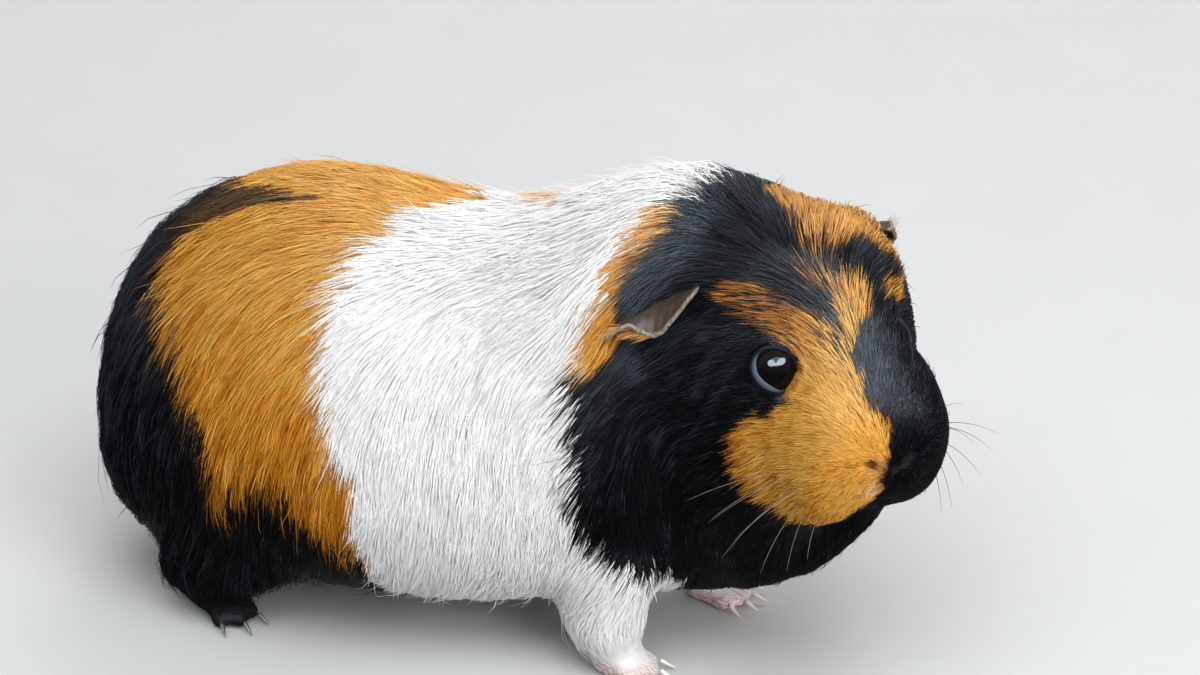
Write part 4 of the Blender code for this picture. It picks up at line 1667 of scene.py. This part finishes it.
    def unwrap(self, roots: Array, region: Region) -> Array:
        """Rolls out a zone's part of the skin.

        Args:
            roots: where the tufts stand.
            region: which zone.

        Returns:
            Each root's place on the map.
        """
        if region is Zone.LEGS.value:
            middle = np.zeros((len(roots), 2))
            block = np.zeros((len(roots), 2))
            for number, name in enumerate(LEGS):
                low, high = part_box(f"paw_{name}")
                same_end = np.sign(roots[:, 0]) == np.sign(low[0])
                near = same_end & ((roots[:, 1] > 0) == (low[1] + high[1] > 0))
                middle[near] = ((low[0] + high[0]) / 2, (low[1] + high[1]) / 2)
                block[near] = (number % 2, number // 2)
            away = roots[:, :2] - middle
            turn = np.arctan2(away[:, 1], away[:, 0]) / (2 * math.pi) + 0.5
            height = np.clip(roots[:, 2] / (20 * MM), 0, 1)
            return 0.01 + 0.98 * (block + np.stack([turn, height], 1) * 0.96) / 2
        if region.name in ("coat_face", "coat_crown"):
            f, left, up = HEAD.local(roots).T
            flat = np.stack([np.arctan2(left, up), f], 1)
        else:
            x, y, z = roots.T
            girth = np.arctan2(z - CORE_HEIGHT * MM, CORE_ASIDE * MM - y)
            flat = np.stack([x, girth % (2 * math.pi)], 1)
            if region.name.endswith(("right", "neck", "rump")):
                flat[:, 1] = (flat[:, 1] + math.pi / 2) % (2 * math.pi)
        low, high = flat.min(0), flat.max(0)
        return 0.01 + 0.98 * (flat - low) / (high - low)


@dataclass(frozen=True)
class EyeFinish:
    """A wet eyeball: nearly black, with a brown iris round the pupil and a blue-grey edge."""

    pupil: tuple = (0.0008, 0.0008, 0.001)
    iris: tuple = (0.006, 0.0035, 0.0025)
    iris_dark: tuple = (0.003, 0.002, 0.0015)
    edge: tuple = (0.006, 0.007, 0.010)

    def material(self) -> Material:
        """Builds the finish from the angle stored on the eyeball.

        Returns:
            The material.
        """
        n = Nodes("eyeball")
        angle = n.attribute("angle")
        rays = n.noise(1400, 3)
        iris = n.mix(rays, self.iris, self.iris_dark)
        inner = n.mix(n.rise(angle, 0.50, 0.60), self.pupil, iris)
        colour = n.mix(n.rise(angle, 0.82, 1.15), inner, self.edge)
        return n.dress(colour, (rays, 0.03, 0.06), (n.noise(300, 1), 0.05, 0.1 * MM), 0.17)


@dataclass(frozen=True)
class LidFinish:
    """The bare, moist edge of the lids."""

    dark: tuple = (0.006, 0.006, 0.008)
    pale: tuple = (0.085, 0.115, 0.160)

    def material(self) -> Material:
        """Builds the finish: paler on the lower lid."""
        n = Nodes("lid_edge")
        spots = n.noise(1500, 3)
        lower = n.math("MULTIPLY", n.attribute("lower"), n.span(spots, 0.6, 1.1))
        colour = n.mix(lower, self.dark, self.pale)
        return n.dress(colour, (spots, 0.35, 0.55), (spots, 0.4, 0.1 * MM), 0.03)


@dataclass
class Eyes:
    """Both eyeballs with a low cornea, and the edges of their lids."""

    rings: int = 40
    segments: int = 64
    cornea: float = 0.22 * MM
    lid_width: float = 0.42 * MM
    lid_height: float = 0.34 * MM
    lowest: float = 1.85  # the turn of the lower lid's middle

    def build(self) -> None:
        """Makes the eyeballs and lid edges."""
        eye_finish, lid_finish = EyeFinish().material(), LidFinish().material()
        for gaze in map(Gaze, Side):
            self.eyeball(gaze, eye_finish)
            self.lid_edge(gaze, lid_finish)

    def eyeball(self, gaze: Gaze, finish: Material) -> None:
        """Makes a smooth ball with a slight rise in front, in place of the faceted one.

        Args:
            gaze: the eye.
            finish: its material.
        """
        radius = gaze.ball[1] - 0.02 * MM
        angle = np.linspace(0, math.pi, self.rings)[:, None] * np.ones(self.segments)
        turn = np.linspace(0, 2 * math.pi, self.segments, endpoint=False) * np.ones_like(angle)
        far = radius + self.cornea * np.clip(1 - (angle / 0.75) ** 2, 0, 1) ** 1.5
        mesh = grid_mesh(f"eyeball_{gaze.side.word}", gaze.place(far, angle, turn), True)
        put_attribute(mesh, "angle", gaze.polar(mesh_arrays(mesh).verts)[1])
        made = piece(mesh.name, mesh, finish)
        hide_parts(f"eye_{gaze.side.word}")

    def lid_edge(self, gaze: Gaze, finish: Material) -> None:
        """Makes a thin moist roll along the opening, close on the eyeball.

        Args:
            gaze: the eye.
            finish: the lids' material.
        """
        turn = np.linspace(0, 2 * math.pi, 96, endpoint=False)
        around = np.linspace(0, 2 * math.pi, 10, endpoint=False)
        low = ramp(np.cos(turn + self.lowest), -0.2, 0.8)[:, None]
        wide = self.lid_width * (0.38 + 1.62 * low)
        outside = np.cos(around) * wide + wide * (0.7 - 1.15 * low)
        angle = gaze.rim(turn)[:, None] + outside / gaze.ball[1]
        far = gaze.ball[1] + 0.12 * MM + np.sin(around) * self.lid_height * np.ones_like(angle)
        points = gaze.place(far, angle, turn[:, None] * np.ones_like(angle))
        mesh = grid_mesh(f"lid_{gaze.side.word}", np.concatenate([points, points[:1]]), True)
        at = gaze.polar(mesh_arrays(mesh).verts)[2]
        put_attribute(mesh, "lower", ramp(np.cos(at + self.lowest), 0.0, 0.7))
        piece(mesh.name, mesh, finish)


@dataclass(frozen=True)
class EarFinish:
    """Thin brown-grey ear skin, creased and paler at its rim."""

    skin: tuple = (0.080, 0.048, 0.031)
    shade: tuple = (0.014, 0.009, 0.007)
    rim: tuple = (0.30, 0.25, 0.20)

    def material(self) -> Material:
        """Builds the finish from the distance to the rim stored on the ear.

        Returns:
            The material.
        """
        n = Nodes("ear_skin")
        creases = n.noise(520, 4, (1, 1, 0.4))
        spots = n.noise(1700, 3)
        tone = n.total((creases, 0.7), (spots, 0.3))
        base = n.mix(n.span(tone, -0.3, 1.3), self.shade, self.skin)
        rim = n.math("MULTIPLY", n.attribute("rim"), n.span(spots, -0.6, 1.9))
        n.shader.inputs["Subsurface Weight"].default_value = 0.12
        n.shader.inputs["Subsurface Scale"].default_value = 0.001
        return n.dress(n.mix(rim, base, self.rim), (tone, 0.45, 0.7), (tone, 0.7, 0.3 * MM), 0.12)


def through(points: tuple, at: Array) -> Array:
    """Runs a smooth line through points.

    Args:
        points: the points.
        at: shares of the way, from 0 at its start to 1 at its end.

    Returns:
        The places on the line.
    """
    knots = np.array(points, float)
    knots = np.concatenate([2 * knots[:1] - knots[1:2], knots, 2 * knots[-1:] - knots[-2:-1]])
    where = np.clip(at, 0, 1) * (len(points) - 1)
    k = np.minimum(where.astype(int), len(points) - 2)
    t = (where - k)[..., None]
    a, b, c, d = (knots[k + n] for n in range(4))
    square, cube = 2 * a - 5 * b + 4 * c - d, 3 * b - a - 3 * c + d
    return 0.5 * (2 * b + (c - a) * t + square * t**2 + cube * t**3)


@dataclass(frozen=True)
class Ear:
    """One drooping ear: a thin waved leaf between its root under the hair and its free rim."""

    side: Side
    root: tuple
    rim: tuple
    bulge: float
    thickness: float = 0.34 * MM
    columns: int = 72
    rows: int = 26

    @property
    def outward(self) -> Array:
        """The way that the leaf faces, in the head's frame."""
        return np.array([0.25, 0.85 * self.side.value, 0.45])

    def point(self, u: Array, v: Array) -> Array:
        """Finds points of the leaf.

        Args:
            u: from 0 at the front to 1 at the back.
            v: from 0 at the root to 1 at the rim.

        Returns:
            The points in the model's frame.
        """
        root, rim = through(self.root, u), through(self.rim, u)
        arch = self.bulge * np.sin(math.pi * v) * np.sin(math.pi * np.clip(u, 0, 1))
        folds = 0.14 * np.sin(34 * u + 4 * v) * v + 0.09 * np.sin(61 * u - 6 * v) * v
        curl = 0.7 * v**7
        place = root + (rim - root) * v[..., None] + self.outward * (arch + folds + curl)[..., None]
        return HEAD.world(place)

    def build(self, finish: Material) -> None:
        """Makes the leaf as a closed mesh in place of the plain one.

        Args:
            finish: the ears' material.
        """
        u = np.linspace(0, 1, self.columns)[None, :] * np.ones((self.rows, 1))
        v = np.linspace(0, 1, self.rows)[:, None] ** 0.8 * np.ones((1, self.columns))
        middle = self.point(u, v)
        out = np.cross(np.gradient(middle, axis=0), np.gradient(middle, axis=1))
        out /= np.linalg.norm(out, axis=2, keepdims=True)
        roll = 1 + 0.35 * bell(v - 0.93, 0.05)
        free_edge = np.sqrt(np.clip((1.004 - v) / 0.05, 0.02, 1))
        edge = free_edge * np.sqrt(np.clip(np.minimum(u, 1 - u) / 0.03, 0.04, 1))
        thick = (self.thickness * roll * edge)[..., None]
        front, back = middle + out * thick, middle - out * thick
        loop = np.concatenate([front, back[::-1], front[:1]])
        mesh = grid_mesh(f"flap_{self.side.word}", loop, False)
        with editing(mesh) as bm:
            bmesh.ops.holes_fill(bm, edges=[edge for edge in bm.edges if edge.is_boundary])
            bmesh.ops.recalc_face_normals(bm, faces=bm.faces)
        border = self.point(np.linspace(0, 1, 120), np.ones(120))
        away = np.linalg.norm(mesh_arrays(mesh).verts[:, None] - border[None], axis=2).min(1)
        put_attribute(mesh, "rim", ramp(-away, -1.3 * MM, -0.5 * MM))
        made = piece(mesh.name, mesh, finish)
        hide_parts(f"ear_{self.side.word}")


@dataclass
class Ears:
    """Both ears; the left one lies closer to the head."""

    right: Ear = Ear(Side.RIGHT, (
        (-49.3, -25.3, 23.6), (-52, -27.8, 20.4), (-53.7, -31.7, 17.2), (-54.8, -35.8, 14.5),
        (-55.8, -39.8, 12.1), (-56, -43.4, 9.4),
    ), (
        (-45.6, -28.4, 26.3), (-45.2, -31, 22.9), (-45.6, -33.2, 18.6), (-46.2, -35, 14.9),
        (-48, -36.6, 12.6), (-50, -38.6, 13.2), (-51.4, -40.8, 14.6), (-52.9, -42.9, 12.4),
        (-54, -45.6, 9.9),
    ), 1.5)
    left: Ear = Ear(Side.LEFT, (
        (-48, 17.5, 28), (-52, 19.5, 26), (-56, 22, 23), (-59, 25, 19.5),
        (-61.5, 28, 16.5), (-63, 31, 13),
    ), (
        (-44.5, 20.7, 30), (-46.6, 23.5, 27.6), (-48.6, 26.1, 24), (-50.6, 27.9, 20),
        (-53.2, 29.5, 17), (-56, 31.3, 17.6), (-58.5, 32.9, 18.2), (-61, 34.3, 16),
        (-63, 35.9, 13),
    ), 2)

    def build(self) -> None:
        """Makes the ears."""
        finish = EarFinish().material()
        self.right.build(finish)
        self.left.build(finish)

    @staticmethod
    def raise_hair(local: Array) -> Array:
        """Finds how much higher the hair stands to pass over the ears' roots.

        Args:
            local: points in the head's frame.

        Returns:
            The heights in metres.
        """
        higher = np.zeros(len(local))
        for ear in (Ears.right, Ears.left):
            line = through(ear.root, np.linspace(0, 1, 40))
            gap = local[:, None] - line[None]
            near = np.linalg.norm(gap, axis=2).argmin(1)
            gap = gap[np.arange(len(local)), near]
            above = gap @ np.array([0.1, -0.5 * ear.side.value, 0.85])
            aside = np.linalg.norm(gap - above[:, None] * np.array([0.1, 0.5, 0.85]), axis=1)
            closeness = np.exp(-((above / 7.0) ** 2) - (aside / 9.0) ** 2)
            higher = np.maximum(higher, 2.8 * MM * ramp(above, -0.2, 1.8) * closeness)
        return higher


@dataclass(frozen=True)
class HornFinish:
    """Claws: pale and slightly clear in front, dark behind."""

    base: tuple
    tip: tuple

    def material(self, name: str) -> Material:
        """Builds the finish with fine lengthwise grain."""
        n = Nodes(name)
        grain = n.noise(1500, 4, (0.4, 0.4, 1))
        colour = n.mix(grain, self.base, self.tip)
        return n.dress(colour, (grain, 0.25, 0.45), (grain, 0.3, 0.1 * MM))


@dataclass
class Claws:
    """The claws keep their solids, rounded off and given horn."""

    pale: HornFinish = HornFinish((0.62, 0.50, 0.42), (0.75, 0.68, 0.60))
    dark: HornFinish = HornFinish((0.030, 0.026, 0.024), (0.10, 0.085, 0.075))

    def build(self) -> None:
        """Dresses every claw."""
        finishes = {"front": self.pale.material("pale_horn"), "hind": self.dark.material("dark_horn")}
        for name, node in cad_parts.items():
            if not name.startswith("claw"):
                continue
            finish = finishes[name.split("_")[1]]
            node.data.materials.clear()
            node.data.materials.append(finish)
            weld = node.modifiers.new("weld", "WELD")
            weld.merge_threshold = 1e-6
            rounding = node.modifiers.new("rounding", "SUBSURF")
            rounding.levels = rounding.render_levels = 2
            smooth(node.data)
            log.info("%s dressed", name)


@dataclass(frozen=True)
class WhiskerFinish:
    """Stiff hairs: straw-coloured on the orange side and dark on the black side."""

    colour: tuple
    tip: tuple

    def material(self, name: str) -> Material:
        """Builds the finish, lighter toward the tip."""
        n = Nodes(name)
        grain = n.noise(700, 2)
        tone = n.math("MULTIPLY", n.attribute("along"), n.span(grain, 0.7, 1.2))
        return n.dress(n.mix(tone, self.colour, self.tip), (grain, 0.3, 0.45))


@dataclass
class Whiskers:
    """The whiskers of both cheeks: thin tapered bristles that sweep back and down."""

    skin: Surface
    near: tuple = (
        ((-13, -19, -3), (-0.55, -0.55, -0.42), 27), ((-10, -19, -6), (-0.3, -0.5, -0.7), 26),
        ((-8, -18, -8), (-0.12, -0.42, -0.85), 22), ((-7, -17, -10), (0.05, -0.35, -0.9), 17),
        ((-14, -19, -6), (-0.5, -0.5, -0.62), 22), ((-11, -19, -3), (-0.44, -0.62, -0.56), 24),
        ((-8, -18, -4), (-0.2, -0.72, -0.52), 20), ((-5, -15, -9), (0.15, -0.35, -0.85), 13),
    )
    far: tuple = (
        ((-8, 18, 3), (-0.2, 0.8, -0.35), 25), ((-9, 18, 1), (-0.2, 0.8, -0.48), 26),
        ((-7, 18, -2), (-0.1, 0.75, -0.6), 22), ((-8, 18, -4), (-0.15, 0.65, -0.75), 20),
        ((-7, 17, -7), (0, 0.5, -0.85), 17), ((-6, 16, -9), (0.05, 0.4, -0.9), 14),
        ((-11, 18, -1), (-0.35, 0.75, -0.5), 26), ((-13, 19, 2), (-0.5, 0.75, -0.35), 24),
    )
    radius: float = 0.070 * MM
    tip_radius: float = 0.012 * MM
    sunk: float = 0.6 * MM  # how deep a root is set in the skin
    bend: float = 0.16  # how far the tip sinks, against the length
    joints: int = 9
    sides: int = 5

    def build(self) -> None:
        """Makes one piece for each side."""
        tree = BVHTree.FromPolygons(self.skin.verts.tolist(), self.skin.tris.tolist())
        pale = WhiskerFinish((0.10, 0.075, 0.05), (0.40, 0.34, 0.25)).material("pale_whisker")
        dark = WhiskerFinish((0.012, 0.010, 0.010), (0.10, 0.085, 0.07)).material("dark_whisker")
        for name, rows, slot, finish in (
            ("whiskers_right", self.near, "coat_white", pale),
            ("whiskers_left", self.far, "coat_black", dark),
        ):
            mesh = bpy.data.meshes.new(name)
            with editing(mesh) as bm:
                layer = bm.verts.layers.float.new("along")
                for root, way, length in rows:
                    self.bristle(bm, layer, tree, root, way, length)
            smooth(mesh)
            piece(name, mesh, finish)

    def bristle(self, bm: BMesh, layer: object, tree: BVHTree, root: tuple,
                way: tuple, length: float) -> None:
        """Adds one whisker from the skin out.

        Args:
            bm: the mesh that it is added to.
            layer: where the share of its length is stored.
            tree: the skin, to root it on.
            root: about where it starts, in the head's frame.
            way: which way it leaves, in the head's frame.
            length: in millimetres.
        """
        start = tree.find_nearest(HEAD.world([root])[0].tolist())[0]
        ahead = Vector(unit(HEAD.turn([way]))[0])
        side = ahead.cross(Vector((0, 0, 1))).normalized()
        drop = side.cross(ahead)
        length *= MM
        rings = []
        for t in np.linspace(0, 1, self.joints + 1).tolist():
            middle = start + ahead * (length * t - self.sunk) - drop * (length * self.bend * t * t)
            radius = self.radius * (1 - t) ** 0.7 + self.tip_radius
            ring = []
            for turn in (2 * math.pi * j / self.sides for j in range(self.sides)):
                vert = bm.verts.new(middle + (side * math.cos(turn) + drop * math.sin(turn)) * radius)
                vert[layer] = t
                ring.append(vert)
            rings.append(ring)
        for low, high in zip(rings, rings[1:]):
            for j in range(self.sides):
                m = (j + 1) % self.sides
                bm.faces.new((low[j], low[m], high[m], high[j]))
        bm.faces.new(rings[0][::-1])
        bm.faces.new(rings[-1])


@dataclass(frozen=True)
class Lamp:
    """A soft oval light, in metres and watts, and whether glossy and matt surfaces take it up."""

    name: str
    place: tuple
    size: tuple
    power: float
    colour: tuple = (0.88, 0.95, 1.0)
    glossy: bool = True
    diffuse: bool = True

    def hang(self) -> None:
        """Puts the light in the scene."""
        lamp = bpy.data.lights.new(self.name, "AREA")
        lamp.shape = "ELLIPSE"
        lamp.size, lamp.size_y = self.size
        lamp.energy = self.power
        lamp.color = self.colour
        made = in_scene(self.name, lamp)
        made.visible_glossy, made.visible_diffuse = self.glossy, self.diffuse
        made.location = self.place
        aim = Vector((0, 0, 0.05)) - Vector(self.place)
        made.rotation_euler = aim.to_track_quat("-Z", "Y").to_euler()


@dataclass
class Studio:
    """A pale floor, soft lights and the camera."""

    target: tuple = (0.0125, 0.0140, 0.0649)
    azimuth: float = math.radians(21)
    elevation: float = math.radians(26)
    distance: float = 1.0
    lens: float = 127.65
    floor: tuple = ((0.45, 0.45, 0.44), (0.48, 0.48, 0.47))
    sky: tuple = (0.95, 0.97, 1.0)
    sky_strengths: tuple = (0.22, 0.80)  # at the horizon and overhead
    lamps: tuple = (
        Lamp("key", (0.24, -0.52, 1.20), (1.30, 0.75), 10, (1.0, 0.99, 0.97), glossy=False),
        Lamp("fill", (1.0, -0.75, 0.50), (0.9, 0.9), 12.5, (1.0, 0.99, 0.97), glossy=False),
        Lamp("back", (-0.1, 0.9, 1.0), (0.8, 0.8), 6, (1.0, 1.0, 1.0)),
        Lamp("sheen", (0.21, -0.37, 0.82), (1.40, 0.66), 27, (0.50, 0.74, 1.0), diffuse=False),
        Lamp("pane_a", (0.50, -0.185, 0.79), (0.62, 0.44), 20, diffuse=False),
        Lamp("pane_b", (-0.10, -0.530, 0.79), (0.56, 0.50), 20, diffuse=False),
        Lamp("pane_c", (0.27, -0.486, 0.71), (0.42, 0.20), 6, diffuse=False),
    )

    def build(self) -> None:
        """Sets the whole stage."""
        self.place_camera()
        self.lay_floor()
        for lamp in self.lamps:
            lamp.hang()
        self.light_room()
        bpy.context.scene.view_settings.view_transform = "Standard"
        log.info("stage: a floor, a camera and %d lamps", len(self.lamps))

    def light_room(self) -> None:
        """A pale sky that is brighter overhead."""
        world = bpy.data.worlds.new("studio")
        bpy.context.scene.world = world
        world.use_nodes = True
        tree = world.node_tree
        sky = tree.nodes["Background"]
        sky.inputs[0].default_value = (*self.sky, 1)
        way = tree.nodes.new("ShaderNodeTexCoord")
        height = tree.nodes.new("ShaderNodeSeparateXYZ")
        bright = tree.nodes.new("ShaderNodeMapRange")
        bright.interpolation_type = "SMOOTHSTEP"
        names = ("From Min", "From Max", "To Min", "To Max")
        for name, value in zip(names, (-0.2, 0.9, *self.sky_strengths)):
            bright.inputs[name].default_value = value
        tree.links.new(way.outputs["Generated"], height.inputs[0])
        tree.links.new(height.outputs["Z"], bright.inputs["Value"])
        tree.links.new(bright.outputs[0], sky.inputs[1])

    def place_camera(self) -> None:
        """The camera looks down at the animal's right shoulder."""
        level = math.cos(self.elevation)
        back = Vector((
            math.sin(self.azimuth) * level, -math.cos(self.azimuth) * level, math.sin(self.elevation)
        ))
        lens = bpy.data.cameras.new("camera")
        lens.lens = self.lens
        lens.sensor_width = 36
        lens.clip_start = 0.05
        camera = in_scene("camera", lens)
        camera.location = Vector(self.target) + back * self.distance
        camera.rotation_euler = (-back).to_track_quat("-Z", "Y").to_euler()
        bpy.context.scene.camera = camera

    def lay_floor(self) -> None:
        """A wide matt floor."""
        mesh = bpy.data.meshes.new("floor")
        with editing(mesh) as bm:
            bmesh.ops.create_grid(bm, x_segments=8, y_segments=8, size=4)
        n = Nodes("floor_paper")
        mesh.materials.append(n.dress(n.mix(n.noise(30), *self.floor), (n.noise(60), 0.8, 0.95)))
        floor = in_scene("floor", mesh)
        floor.visible_glossy = False


def main() -> None:
    """Builds the animal and the stage."""
    logging.basicConfig(level=logging.INFO, format="%(name)s: %(message)s")
    lie, markings = Lie(), Markings()
    skin = Skin().build(lie, markings)
    comb = Comb(skin, lie)
    Coat(comb, lie, markings).build()
    Eyes().build()
    Ears().build()
    Claws().build()
    Whiskers(skin).build()
    Studio().build()


if __name__ == "__main__":
    main()
